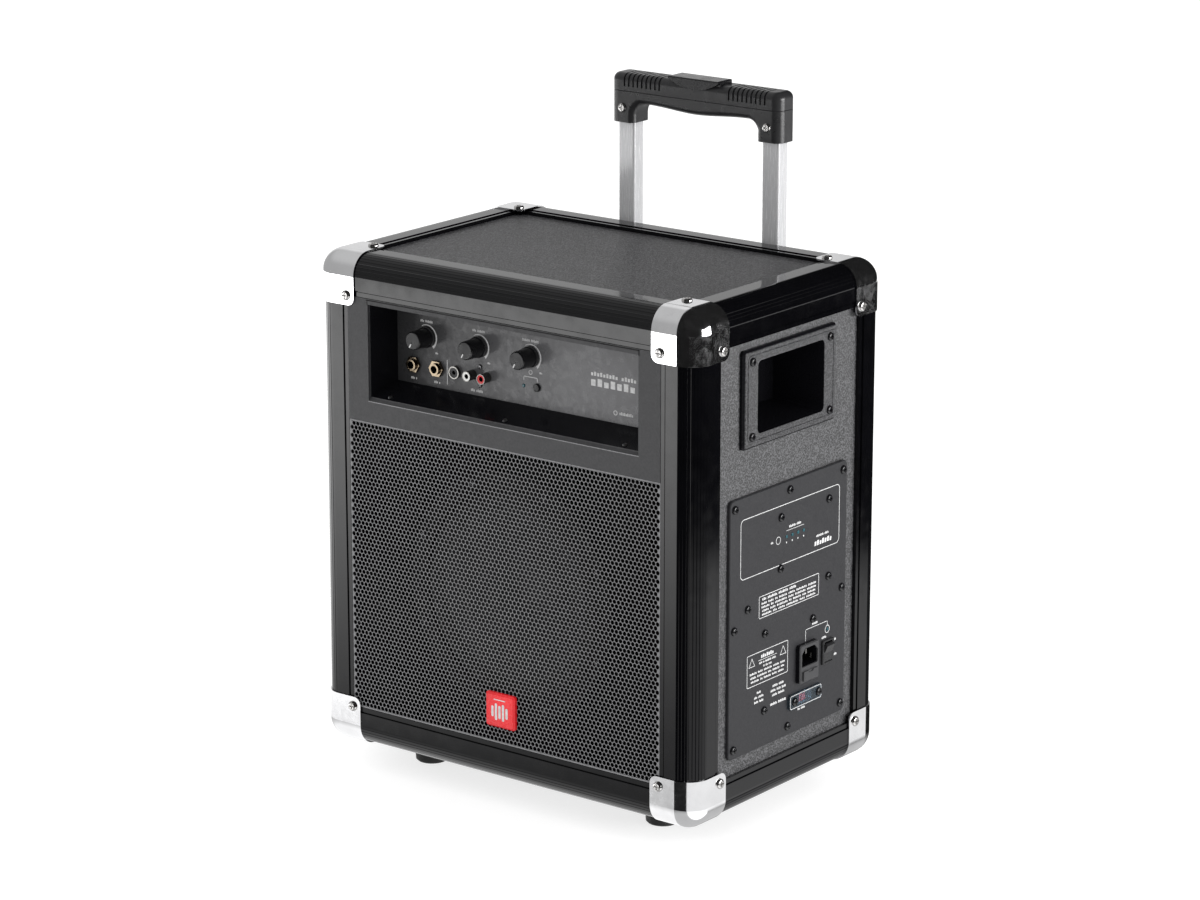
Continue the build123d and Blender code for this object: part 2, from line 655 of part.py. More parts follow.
led = rod_y(LED_X, CONTROL_Y - 0.8, POT_BACK, JACK_Z, LED_R)
lamps = [fillet(led.edges().sort_by(Axis.Y)[0], 0.7)]
button = rod_y(PAIR_X, CONTROL_Y - 2.0, CONTROL_BACK + 1.2, PAIR_Z, PAIR_R)
button = fillet(button.edges().sort_by(Axis.Y)[0], 0.6)
button = button + rod_y(PAIR_X, CONTROL_BACK + 1.2, CONTROL_BACK + 2.2, PAIR_Z, PAIR_R + 1.2)
button = button + rod_y(PAIR_X, CONTROL_BACK + 2.2, POT_BACK - 1.5, PAIR_Z, 1.5)
save("pair_button", [button])

# ---------------------------------------------------------------------------
# Recessed carrying handles.
# ---------------------------------------------------------------------------
CUP_DEEP = 46.0
CUP_BEVEL = 2.2
CUP_W = 128.5
CUP_H = 80.6
MOUTH_W = 92.0
MOUTH_H = 59.6
MOUTH_R = 4.5
MOUTH_TAPER = 5.0


def handle_cup():
    y, z = HANDLE_Y, HANDLE_Z
    frame = slab_x(PX, CUP_FACE, y, z, CUP_W, CUP_H, 3.0)
    frame = chamfer(frame.faces().sort_by(Axis.X)[-1].edges(), CUP_BEVEL)
    body = block(PX - CUP_DEEP, PX, y - 48.5, y + 48.5, z - 32.5, z + 38.5)
    mouth = Plane((CUP_FACE, y, z), x_dir=(0, 1, 0), z_dir=(-1, 0, 0))
    outline = RectangleRounded(MOUTH_W, MOUTH_H, MOUTH_R)
    pocket = extrude(mouth * outline, CUP_DEEP + 1.5, taper=MOUTH_TAPER)
    hook = block(PX - 40, PX - 8, y - 37.0, y + 37.0, z, z + 35.5)
    cup = frame + body - pocket - hook
    return carve(cup, holes(cup_seats, PAN_R, SHORT))


cup = handle_cup()
save("handle_cup_right", [cup])
save("handle_cup_left", [flip(cup, "x")])

# ---------------------------------------------------------------------------
# Service plate with inlet, switch, voltage selector and charge lamps.
# ---------------------------------------------------------------------------
IEC_W = 26.7
IEC_H = 32.6
IEC_FACE = PLATE_FACE + 4.7
IEC_BACK = 166.0
SOCKET_Z = IEC_Z + 5.4
DRAWER_Z = IEC_Z - 10.2
SWITCH_FACE = PLATE_FACE + 2.2
PIVOT_X = PLATE_FACE - 1.0
LAMPS = [(-4.0, 6.0), (4.0, 6.0), (12.0, 6.0), (20.0, 6.0), (55.9, -87.2)]
LAMP_R = 1.5

plate_mid = (PLATE_LOW + PLATE_HIGH) / 2
plate = slab_x(PX, PLATE_FACE, 0, plate_mid, 2 * PLATE_HALF, PLATE_HIGH - PLATE_LOW, 5.0)
plate = chamfer(plate.faces().sort_by(Axis.X)[-1].edges(), 0.6)
plate = carve(plate, holes(plate_seats + board_seats, PAN_R, SHORT))
far, near = PX - 1, PLATE_FACE + 1
plate = plate - block(far, near, IEC_Y - 12.2, IEC_Y + 12.2, IEC_Z - 15.2, IEC_Z + 15.2)
plate = plate - block(far, near, SWITCH_Y - 6.6, SWITCH_Y + 6.6, SWITCH_Z - 9.6, SWITCH_Z + 9.6)
plate = plate - block(far, near, SELECTOR_Y - 7, SELECTOR_Y + 7, SELECTOR_Z - 3.2, SELECTOR_Z + 3.2)
for y, z in LAMPS:
    plate = plate - rod_x(far, near, y, z, LAMP_R)
SELECTOR_SHANK = 5.2
plate = carve(plate, holes(selector_seats, PAN_R, SELECTOR_SHANK))
save("amp_plate", [plate])

flange = slab_x(PLATE_FACE, IEC_FACE, IEC_Y, IEC_Z, IEC_W, IEC_H, 2.0)
flange = chamfer(flange.faces().sort_by(Axis.X)[-1].edges(), 0.8)
inlet = flange + block(IEC_BACK, PLATE_FACE, IEC_Y - 12.2, IEC_Y + 12.2, IEC_Z - 15.2, IEC_Z + 15.2)
SOCKET_BACK = IEC_FACE - 17.0
socket = slab_x(SOCKET_BACK, IEC_FACE + 1, IEC_Y, SOCKET_Z, 22.4, 15.6, 1.2)
for sy in (-1, 1):
    corner = Pos(IEC_FACE - 8, IEC_Y + sy * 11.2, SOCKET_Z + 7.8) * Rot(45, 0, 0) * Box(19, 6.4, 6.4)
    socket = socket - corner
DRAWER_W = 18.0
DRAWER_H = 6.0
slot_w = DRAWER_W / 2 + 0.2
slot_h = DRAWER_H / 2 + 0.2
slot_y = (IEC_Y - slot_w, IEC_Y + slot_w)
slot_z = (DRAWER_Z - slot_h, DRAWER_Z + slot_h)
slot = block(IEC_FACE - 21, IEC_FACE + 1, *slot_y, *slot_z)
save("iec_inlet", [inlet - socket - slot])
PIN_SPOTS = [(0.0, 3.0), (-7.0, -2.0), (7.0, -2.0)]
pins = []
for dy, dz in PIN_SPOTS:
    y, z = IEC_Y + dy, SOCKET_Z + dz
    pins.append(block(SOCKET_BACK, SOCKET_BACK + 13, y - 1, y + 1, z - 2, z + 2))
save("iec_pins", pins)
drawer = block(IEC_FACE - 20, IEC_FACE, IEC_Y - DRAWER_W / 2, IEC_Y + DRAWER_W / 2,
               DRAWER_Z - DRAWER_H / 2, DRAWER_Z + DRAWER_H / 2)
fuse_z = (DRAWER_Z - 1.5, DRAWER_Z + 4)
drawer = drawer - block(IEC_FACE - 18.5, IEC_FACE - 3, IEC_Y - 7, IEC_Y + 7, *fuse_z)
front = slab_x(IEC_FACE, IEC_FACE + 1.5, IEC_Y, DRAWER_Z, 20.4, 8.2, 1.0)
front = front - block(IEC_FACE + 0.7, IEC_FACE + 2, IEC_Y - 3, IEC_Y + 3, DRAWER_Z + 2.4, DRAWER_Z + 5)
save("fuse_drawer", [drawer + front])

switch = slab_x(PLATE_FACE, SWITCH_FACE, SWITCH_Y, SWITCH_Z, 15.0, 21.0, 1.0)
switch = chamfer(switch.faces().sort_by(Axis.X)[-1].edges(), 0.6)
switch = switch + block(174, PLATE_FACE, SWITCH_Y - 6.6, SWITCH_Y + 6.6, SWITCH_Z - 9.6, SWITCH_Z + 9.6)
well = block(182, SWITCH_FACE + 1, SWITCH_Y - 5.6, SWITCH_Y + 5.6, SWITCH_Z - 8.9, SWITCH_Z + 8.9)
save("switch_frame", [switch - well])
ROCKER_R = 8.6
ROCKER_TILT = 12.0
dish = [(-4, -5.5), (2.0, -8.0), (4.9, -8.0), (3.2, 0), (4.9, 8.0), (2.0, 8.0), (-4, 5.5)]
rocker = extrude(Plane.XZ * make_face(Polyline(dish, close=True)), 5.4, both=True)
rocker = rocker & rod_y(0, -6, 6, 0, ROCKER_R)
save("power_rocker", [Pos(PIVOT_X, SWITCH_Y, SWITCH_Z) * Rot(0, ROCKER_TILT, 0) * rocker])

body = block(178, PX, SELECTOR_Y - 12, SELECTOR_Y + 12, SELECTOR_Z - 6, SELECTOR_Z + 6)
body = body - block(183, PX + 1, SELECTOR_Y - 7, SELECTOR_Y + 7, SELECTOR_Z - 3.2, SELECTOR_Z + 3.2)
save("selector_body", [body])
SLIDE_L = 9.0
y0 = SELECTOR_Y - 6.7
slider = block(183.2, PLATE_FACE - 0.2, y0, y0 + SLIDE_L, SELECTOR_Z - 3.0, SELECTOR_Z + 3.0)
rib_z = (SELECTOR_Z - 2, SELECTOR_Z + 2)
slider = slider + block(PLATE_FACE - 0.2, PLATE_FACE + 0.8, y0 + 2, y0 + 7, *rib_z)
save("selector_slider", [slider])
cover = block(PLATE_FACE, SELECTOR_FACE, SELECTOR_Y - 22.9, SELECTOR_Y + 22.9,
              SELECTOR_Z - 6.5, SELECTOR_Z + 6.5)
cover = chamfer(cover.edges().filter_by(Axis.X), 2.2)
cover = cover - block(PLATE_FACE - 1, SELECTOR_FACE - 1, SELECTOR_Y - 9, SELECTOR_Y + 9,
                      SELECTOR_Z - 4.5, SELECTOR_Z + 4.5)
save("selector_cover", [carve(cover, holes(selector_seats, PAN_R, SELECTOR_SHANK))])
for y, z in LAMPS:
    lamp = rod_x(PX - 6, PLATE_FACE + 0.6, y, z, LAMP_R)
    lamps.append(fillet(lamp.edges().sort_by(Axis.X)[-1], 0.5))
save("indicator_lamps", lamps)

# Boards behind the plate, on sleeves that take the plate's inner screws.
BOARD_X = 173.0
BOARD_T = 1.6
boards = [block(BOARD_X, BOARD_X + BOARD_T, -66, 66, -78, 33)]
boards.append(block(BOARD_X, BOARD_X + BOARD_T, -66, 4, -148, -84))
sleeve_ends = (BOARD_X + BOARD_T, PX)
for y, z in BOARD_GRID:
    sleeve = rod_x(*sleeve_ends, y, z, 4.0) - rod_x(*sleeve_ends, y, z, PAN_R)
    boards.append(sleeve)
SINK_X = 138.0
sink = block(BOARD_X - 5, BOARD_X, -58, 46, -66, -30)
for k in range(14):
    fin_y = -56.0 + 7.6 * k
    sink = sink + block(SINK_X, BOARD_X - 5, fin_y, fin_y + 2, -66, -30)
boards.append(sink)
for y, z in ((-48, 8), (-26, 8), (-48, -14), (24, 10), (44, 10)):
    boards.append(rod_x(BOARD_X - 26, BOARD_X, y, z, 8.0))
boards.append(block(BOARD_X - 34, BOARD_X, -60, -22, -128, -92))
save("amp_board", boards)

BATTERY_W = 151.0
BATTERY_Y = (-12.0, 53.0)
BATTERY_TOP = -IN_Z + 94.0
cell = block(-BATTERY_W / 2, BATTERY_W / 2, *BATTERY_Y, -IN_Z, BATTERY_TOP)
for sx in (-1, 1):
    cell = cell + block(sx * 60 - 3, sx * 60 + 3, 38, 44, BATTERY_TOP, BATTERY_TOP + 5)
save("battery_pack", [cell])
STRAP_T = 1.5
strap_z = BATTERY_TOP + STRAP_T
strap = block(-10, 10, BATTERY_Y[0] - STRAP_T, BATTERY_Y[1] + STRAP_T, -IN_Z, strap_z)
strap = strap - block(-11, 11, *BATTERY_Y, -IN_Z - 1, BATTERY_TOP)
for y0, y1 in ((BATTERY_Y[0] - 18, BATTERY_Y[0]), (BATTERY_Y[1], BATTERY_Y[1] + 18)):
    strap = strap + block(-10, 10, y0, y1, -IN_Z, -IN_Z + STRAP_T)
save("battery_strap", [strap])

# ---------------------------------------------------------------------------
# Trolley: fixed outer tubes, middle and inner stages, grip, base and wheels.
# ---------------------------------------------------------------------------
CORNER_R = 1.8


def bar(sx, wide, deep, z0, z1, r=CORNER_R):
    return Pos(sx * TUBE_X, TUBE_Y, z0) * extrude(RectangleRounded(wide, deep, r), z1 - z0)


def stage(size, z0, z1):
    wide, deep, wall = size
    tubes = []
    for sx in (-1, 1):
        hollow = bar(sx, wide - 2 * wall, deep - 2 * wall, z0 - 1, z1 + 1, CORNER_R - wall)
        tubes.append(bar(sx, wide, deep, z0, z1) - hollow)
    return tubes


MIDDLE_LOW = OUTER_LOW + 4.0
INNER_HIGH = 318.0
save("trolley_outer", stage(OUTER, OUTER_LOW, OUTER_HIGH))
COLLAR_LOW = OUTER_HIGH + 0.3
middles = []
for sx, tube in zip((-1, 1), stage(MIDDLE, MIDDLE_LOW, COLLAR_HIGH)):
    collar = bar(sx, 23.0, 19.5, COLLAR_LOW, COLLAR_HIGH)
    collar = collar - bar(sx, MIDDLE[0] - 0.2, MIDDLE[1] - 0.2, COLLAR_LOW - 1, COLLAR_HIGH + 1)
    middles.append(tube + collar)
save("trolley_middle", middles)

GRIP_SCREW_Z = 305.0
LEG_IN = 64.0
LEG_FLARE = 10.0
BELLY = 3.0
GRIP_ROUND = 5.0
SEAM = 0.35
GRIP_FRONT = TUBE_Y - GRIP_D / 2
GRIP_BACK = TUBE_Y + GRIP_D / 2
grip_seats = [((sx * TUBE_X, GRIP_FRONT, GRIP_SCREW_Z), "-y") for sx in (-1, 1)]
GRIP_SHANK = 10.0
grip_holes = holes(grip_seats, PAN_R, GRIP_SHANK)
inners = [carve(tube, grip_holes) for tube in stage(INNER, INNER_LOW, INNER_HIGH)]
save("trolley_inner", inners)


def grip_slab(z0, z1):
    """The grip's outline seen from above, between two heights."""
    slab = block(-GRIP_HALF, GRIP_HALF, GRIP_FRONT, GRIP_BACK, z0, z1)
    return fillet(slab.edges().filter_by(Axis.Z), 8.0)


def finger_arch():
    """The opening under the grip, as a cutter: flared legs and a low belly."""
    flare_x = LEG_IN - LEG_FLARE
    flare_z = GRIP_ARCH - LEG_FLARE
    foot = GRIP_LOW - 1
    belly = [(flare_x, GRIP_ARCH), (0, GRIP_ARCH - BELLY), (-flare_x, GRIP_ARCH)]
    outline = [
        Line((-LEG_IN, foot), (LEG_IN, foot)),
        Line((LEG_IN, foot), (LEG_IN, flare_z)),
        CenterArc((flare_x, flare_z), LEG_FLARE, 0, 90),
        Spline(*belly, tangents=[(-1, 0), (-1, 0)]),
        CenterArc((-flare_x, flare_z), LEG_FLARE, 90, 90),
        Line((-LEG_IN, flare_z), (-LEG_IN, foot)),
    ]
    return Pos(0, GRIP_BACK + 1, 0) * extrude(Plane.XZ * make_face(outline), GRIP_D + 2)


lower = grip_slab(GRIP_LOW, GRIP_SPLIT) - finger_arch()
rims = [
    edge
    for edge in lower.edges()
    if abs(abs(edge.center().Y - TUBE_Y) - GRIP_D / 2) < 0.2
    and abs(edge.center().X) < LEG_IN + 0.1
    and GRIP_LOW + 0.5 < edge.center().Z < GRIP_ARCH + 1
]
lower = fillet(rims, GRIP_ROUND)
lower = chamfer(lower.faces().sort_by(Axis.Z)[-1].edges(), SEAM)
for sx in (-1, 1):
    lower = lower - bar(sx, INNER[0], INNER[1], GRIP_LOW - 1, INNER_HIGH)
lower = carve(lower, grip_holes)
save("grip_lower", [lower])

SLOTS = 9
SLOT_FIRST = 36.0
SLOT_STEP = 4.6
SLOT_W = 1.7
SLOT_DEEP = 1.3
upper = grip_slab(GRIP_SPLIT, GRIP_HIGH)
upper = fillet(upper.faces().sort_by(Axis.Z)[-1].edges(), 6.0)
upper = chamfer(upper.faces().sort_by(Axis.Z)[0].edges(), SEAM)
core = block(-GRIP_HALF, GRIP_HALF, GRIP_FRONT + SLOT_DEEP, GRIP_BACK, GRIP_SPLIT, GRIP_HIGH - SLOT_DEEP)
core = fillet(core.edges().filter_by(Axis.X).sort_by(Axis.Z)[-2:], 5.0)
for k in range(SLOTS):
    for sx in (-1, 1):
        x = sx * (SLOT_FIRST + SLOT_STEP * k)
        slot = block(x - SLOT_W / 2, x + SLOT_W / 2, GRIP_FRONT - 1, TUBE_Y + 5, 323.6, GRIP_HIGH + 1)
        upper = upper - (slot - core)
KEY_HALF = 26.0
KEY_BACK = TUBE_Y + 6.0
KEY_LIP = 1.2
KEY_LOW = 327.0
KEY_SMILE = 328.6
KEY_HIGH = GRIP_HIGH + 3.4
KEY_TOP_T = 1.9
KEY_TRAVEL = 2.5
KEY_CLEAR = 0.3
SEAT_FRONT = GRIP_FRONT + 2.2
seat_z = KEY_LOW - KEY_TRAVEL - KEY_CLEAR
seat_half = KEY_HALF + KEY_CLEAR
recess = block(-seat_half, seat_half, SEAT_FRONT, KEY_BACK + KEY_CLEAR, seat_z, GRIP_HIGH + 2)
stem_hole = rod_z(0, TUBE_Y, GRIP_SPLIT - 1, seat_z + 1, 4.3)
save("grip_upper", [upper - recess - stem_hole])
key = block(-KEY_HALF, KEY_HALF, SEAT_FRONT + KEY_CLEAR, KEY_BACK, KEY_LOW, KEY_HIGH)
lip_y = GRIP_FRONT - KEY_LIP - 0.2
key = key + block(-KEY_HALF, KEY_HALF, lip_y, KEY_BACK, KEY_HIGH - KEY_TOP_T, KEY_HIGH)
corner_z = KEY_HIGH - KEY_TOP_T
smile = [
    Line((-KEY_HALF, KEY_HIGH), (KEY_HALF, KEY_HIGH)),
    Line((KEY_HALF, KEY_HIGH), (KEY_HALF, corner_z)),
    ThreePointArc((KEY_HALF, corner_z), (0, KEY_SMILE), (-KEY_HALF, corner_z)),
    Line((-KEY_HALF, corner_z), (-KEY_HALF, KEY_HIGH)),
]
key = key + Pos(0, lip_y + KEY_LIP, 0) * extrude(Plane.XZ * make_face(smile), KEY_LIP)
key = fillet(key.faces().sort_by(Axis.Z)[-1].edges(), 1.1)
key = key + rod_z(0, TUBE_Y, GRIP_SPLIT + KEY_TRAVEL + 0.5, KEY_LOW, 4.0)
save("release_button", [key])
grip_screw = pan_screw(3.9, 1.6, PAN_R, GRIP_SHANK)
save("grip_screws", screws(grip_screw, grip_seats))

bracket = block(-92, 92, PY, BRACKET_BACK, 150, 172)
for sx in (-1, 1):
    bracket = bracket - bar(sx, OUTER[0], OUTER[1], 149, 173)
save("trolley_bracket", [carve(bracket, holes(trolley_seats, PAN_R, LONG))])

BASE_HALF = 103.0
base = block(-BASE_HALF, BASE_HALF, PY, BRACKET_BACK, -177.0, -150.0)
base = base + block(-BASE_HALF, BASE_HALF, HY + 1.0, AXLE_Y + 11, FLOOR_Z + 17, -176.0)
base = fillet(base.edges().filter_by(Axis.X).sort_by(Axis.Y)[-1], 8.0)
for sx in (-1, 1):
    base = base - bar(sx, OUTER[0], OUTER[1], OUTER_LOW, -149.0)
base = base - rod_x(-BASE_HALF - 1, BASE_HALF + 1, AXLE_Y, AXLE_Z, AXLE_R)
save("trolley_base", [carve(base, holes(trolley_seats, PAN_R, LONG))])

WHEEL_OUT = WHEEL_X + WHEEL_W / 2
AXLE_END = WHEEL_OUT + 0.8
axle = rod_x(-AXLE_END, AXLE_END, AXLE_Y, AXLE_Z, AXLE_R)
for sx in (-1, 1):
    x = sorted((sx * AXLE_END, sx * (AXLE_END + 2.5)))
    axle = axle + fillet(rod_x(*x, AXLE_Y, AXLE_Z, 7.0).edges(), 0.8)
save("wheel_axle", [axle])
HUB_R = 21.0
TYRE_ROUND = 4.0
RUNNING = 0.05
for name, sx in (("left", -1), ("right", 1)):
    x = sorted((sx * (WHEEL_X - WHEEL_W / 2), sx * WHEEL_OUT))
    tyre = fillet(rod_x(*x, AXLE_Y, AXLE_Z, WHEEL_R).edges(), TYRE_ROUND)
    tyre = tyre - rod_x(x[0] - 1, x[1] + 1, AXLE_Y, AXLE_Z, HUB_R)
    save(f"wheel_{name}_tyre", [tyre])
    hub = rod_x(x[0] + 1, x[1] - 1, AXLE_Y, AXLE_Z, HUB_R)
    for side in (-1, 1):
        dish_x = sorted((sx * WHEEL_X + side * (WHEEL_W / 2 - 6), sx * WHEEL_X + side * WHEEL_W))
        dish = rod_x(*dish_x, AXLE_Y, AXLE_Z, HUB_R - 2.5)
        hub = hub - (dish - rod_x(*dish_x, AXLE_Y, AXLE_Z, 8.0))
    for k in range(5):
        spot = Pos(sx * WHEEL_X, AXLE_Y, AXLE_Z) * Rot(72 * k, 0, 0) * Pos(0, 0, 13.5)
        hub = hub - spot * Rot(0, 90, 0) * Cylinder(3.6, WHEEL_W)
    hub = hub - rod_x(x[0] - 1, x[1] + 1, AXLE_Y, AXLE_Z, AXLE_R + RUNNING)
    save(f"wheel_{name}_hub", [hub])

# ---------------------------------------------------------------------------
# Black pan-head screws of one size, and the two long ones behind.
# ---------------------------------------------------------------------------
black = screws(pan, cup_seats + left_cup_seats + plate_seats + board_seats + woofer_seats)
black += screws(pan_screw(3.6, 1.8, PAN_R, SELECTOR_SHANK), selector_seats)
black += screws(pan_screw(3.6, 2.0, PAN_R, 20.0), foot_seats)
black += screws(long_pan, trolley_seats)
save("black_screws", black)
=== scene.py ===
import math

import bmesh
import bpy
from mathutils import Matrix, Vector


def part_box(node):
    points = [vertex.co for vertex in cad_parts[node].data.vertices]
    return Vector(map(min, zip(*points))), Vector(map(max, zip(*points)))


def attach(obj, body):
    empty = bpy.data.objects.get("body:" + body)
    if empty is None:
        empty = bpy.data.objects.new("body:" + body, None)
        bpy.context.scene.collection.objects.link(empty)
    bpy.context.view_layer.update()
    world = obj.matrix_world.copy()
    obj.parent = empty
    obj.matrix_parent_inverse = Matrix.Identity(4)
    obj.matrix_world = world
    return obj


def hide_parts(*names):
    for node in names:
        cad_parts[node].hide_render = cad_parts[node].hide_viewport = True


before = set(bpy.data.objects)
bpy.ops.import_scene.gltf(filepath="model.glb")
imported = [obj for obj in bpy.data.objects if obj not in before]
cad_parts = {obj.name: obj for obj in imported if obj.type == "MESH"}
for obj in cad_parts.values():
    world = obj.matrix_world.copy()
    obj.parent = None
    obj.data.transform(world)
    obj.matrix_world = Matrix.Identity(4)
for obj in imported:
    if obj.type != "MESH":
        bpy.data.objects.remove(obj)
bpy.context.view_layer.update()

MM = 0.001
CABINET = "cabinet"
CASE_LO, CASE_HI = (Vector(v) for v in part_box("corner_caps"))
CASE_MID = (CASE_LO + CASE_HI) / 2


# ---------------------------------------------------------------------------
# Materials. Object coordinates are metres in the shared frame.
# ---------------------------------------------------------------------------
class Paint:
    """A procedural material: one Principled shader with noise on its sockets."""

    def __init__(self, name, color, rough, metal=0.0, **sockets):
        self.mat = bpy.data.materials.new(name)
        self.mat.use_nodes = True
        self.nodes = self.mat.node_tree.nodes
        self.links = self.mat.node_tree.links
        self.shader = self.nodes["Principled BSDF"]
        self.color = color
        self.rough = rough
        self.set("Base Color", (*color, 1))
        self.set("Roughness", rough)
        self.set("Metallic", metal)
        for socket, value in sockets.items():
            self.set(socket.replace("_", " "), value)
        self.coords = self.nodes.new("ShaderNodeTexCoord")
        self.mat.diffuse_color = (*color, 1)

    def set(self, socket, value):
        self.shader.inputs[socket].default_value = value

    def place(self, stretch=(1, 1, 1)):
        mapping = self.nodes.new("ShaderNodeMapping")
        mapping.inputs["Scale"].default_value = stretch
        self.links.new(self.coords.outputs["Object"], mapping.inputs["Vector"])
        return mapping.outputs["Vector"]

    def noise(self, size, detail=3.0, stretch=(1, 1, 1)):
        """Noise whose blobs are about `size` metres across."""
        node = self.nodes.new("ShaderNodeTexNoise")
        node.inputs["Scale"].default_value = 1 / size
        node.inputs["Detail"].default_value = detail
        self.links.new(self.place(stretch), node.inputs["Vector"])
        return node.outputs["Fac"]

    def cells(self, size, smooth=0.6):
        node = self.nodes.new("ShaderNodeTexVoronoi")
        node.feature = "SMOOTH_F1"
        node.inputs["Scale"].default_value = 1 / size
        node.inputs["Smoothness"].default_value = smooth
        self.links.new(self.place(), node.inputs["Vector"])
        return node.outputs["Distance"]

    def spread(self, value, low, high):
        node = self.nodes.new("ShaderNodeMapRange")
        node.inputs["From Min"].default_value = 0.3
        node.inputs["From Max"].default_value = 0.7
        node.inputs["To Min"].default_value = low
        node.inputs["To Max"].default_value = high
        self.links.new(value, node.inputs["Value"])
        return node.outputs["Result"]

    def vary_rough(self, value, amount):
        result = self.spread(value, max(self.rough - amount, 0.02), min(self.rough + amount, 1.0))
        self.links.new(result, self.shader.inputs["Roughness"])
        return self

    def vary_color(self, value, low, high):
        """Runs the base colour from `low` to `high` times itself."""
        node = self.nodes.new("ShaderNodeMix")
        node.data_type = "RGBA"
        node.inputs["A"].default_value = (*(c * low for c in self.color), 1)
        node.inputs["B"].default_value = (*(min(c * high, 1) for c in self.color), 1)
        self.links.new(self.spread(value, 0.0, 1.0), node.inputs["Factor"])
        self.links.new(node.outputs["Result"], self.shader.inputs["Base Color"])
        return self

    def across(self, axis, start, end, mirrored=False):
        """A ramp from 0 to 1 between two coordinates of the object."""
        split = self.nodes.new("ShaderNodeSeparateXYZ")
        self.links.new(self.coords.outputs["Object"], split.inputs["Vector"])
        source = split.outputs[axis]
        if mirrored:
            fold = self.nodes.new("ShaderNodeMath")
            fold.operation = "ABSOLUTE"
            self.links.new(source, fold.inputs[0])
            source = fold.outputs["Value"]
        node = self.nodes.new("ShaderNodeMapRange")
        node.inputs["From Min"].default_value = start
        node.inputs["From Max"].default_value = end
        self.links.new(source, node.inputs["Value"])
        return node.outputs["Result"]

    def switch(self, socket, value, other, mask):
        """Runs a colour or number over to `other` where the mask is 1."""
        target = self.shader.inputs[socket]
        node = self.nodes.new("ShaderNodeMix")
        flat = isinstance(other, float)
        node.data_type = "FLOAT" if flat else "RGBA"
        ends = [i for i in node.inputs if i.enabled and i.name in "AB"]
        if target.is_linked:
            self.links.new(target.links[0].from_socket, ends[0])
        else:
            ends[0].default_value = value
        ends[1].default_value = other if flat else (*other, 1)
        self.links.new(mask, [i for i in node.inputs if i.enabled and i.name == "Factor"][0])
        self.links.new([o for o in node.outputs if o.enabled][0], target)
        return self

    def painted_shade_past(self, axis, limit, way, color=(0.004, 0.004, 0.005), rough=0.22):
        """Painted shade: black and glossier on the far side of a plane across the object, standing in for the
        shade inside a recess, hole or socket.
        """
        mask = self.across(axis, limit, limit + way * 0.3 * MM, way < 0)
        self.switch("Base Color", (*self.color, 1), color, mask)
        self.switch("Roughness", self.rough, rough, mask)
        self.switch("Specular IOR Level", 0.5, 0.12, mask)
        return self.mat

    def bump(self, value, height, strength=1.0):
        node = self.nodes.new("ShaderNodeBump")
        node.inputs["Strength"].default_value = strength
        node.inputs["Distance"].default_value = height
        self.links.new(value, node.inputs["Height"])
        if self.shader.inputs["Normal"].is_linked:
            before = self.shader.inputs["Normal"].links[0].from_socket
            self.links.new(before, node.inputs["Normal"])
        self.links.new(node.outputs["Normal"], self.shader.inputs["Normal"])
        return self


def pebbled(name, color, rough, size=1.3 * MM, height=0.26 * MM):
    """Grained vinyl or grained plastic."""
    p = Paint(name, color, rough)
    grain = p.cells(size)
    p.vary_color(grain, 0.35, 2.1)
    p.vary_rough(p.noise(4 * MM), 0.03)
    p.bump(grain, height, 0.9)
    return p.bump(p.noise(0.5 * MM, 2), 0.06 * MM, 0.7)


def moulded(name, color, rough, height=0.04 * MM, **sockets):
    """Moulded plastic: a fine grain and slightly uneven gloss."""
    p = Paint(name, color, rough, **sockets)
    p.vary_color(p.noise(30 * MM), 0.88, 1.12)
    p.vary_rough(p.noise(9 * MM, 4), 0.05)
    return p.bump(p.noise(0.45 * MM, 3), height, 0.8)


def polished(name, color, rough, **sockets):
    """Glossy plastic or enamel: slow waves and uneven gloss, no grain."""
    p = Paint(name, color, rough, **sockets)
    p.vary_color(p.noise(40 * MM), 0.8, 1.2)
    p.vary_rough(p.noise(12 * MM, 5), 0.03)
    return p.bump(p.noise(30 * MM, 1), 0.05 * MM, 0.3)


def plated(name, color, rough, **sockets):
    """Polished or satin metal with faint handling marks."""
    p = Paint(name, color, rough, 1.0, **sockets)
    p.vary_color(p.noise(25 * MM), 0.94, 1.05)
    p.vary_rough(p.noise(6 * MM, 6), 0.04)
    return p.bump(p.noise(14 * MM, 4), 0.05 * MM, 0.25)


def brushed(name, color, rough, along, metal=1.0):
    """Metal with fine lines that run along one axis (0, 1 or 2)."""
    p = Paint(name, color, rough, metal)
    stretch = [1.0, 1.0, 1.0]
    stretch[along] = 0.02
    lines = p.noise(0.35 * MM, 4, tuple(stretch))
    p.vary_color(lines, 0.93, 1.05)
    p.vary_rough(lines, 0.07)
    return p.bump(lines, 0.02 * MM, 0.5)


def coated(name, color, rough, size=0.5 * MM, height=0.05 * MM, **sockets):
    """Powder coat or paint: an orange-peel surface with small tone changes."""
    p = Paint(name, color, rough, **sockets)
    p.vary_color(p.noise(2.2 * MM, 5), 0.85, 1.18)
    p.vary_rough(p.noise(5 * MM, 3), 0.06)
    return p.bump(p.noise(size, 2), height, 0.8)


# Planes past which the materials below paint shade: the bezel recess, the handle cups, the mains inlet, the
# grille's hole walls and the phono socket cores.
BEZEL_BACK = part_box("control_bezel")[0][1] + 2.5 * MM
CUP_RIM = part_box("handle_cup_right")[1][0] - 0.4 * MM
INLET_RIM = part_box("iec_inlet")[1][0] - 1.2 * MM
GRILLE_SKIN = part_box("front_grille")[0][1] + 0.10 * MM
SOCKET_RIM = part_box("rca_white")[0][1] + 0.5 * MM

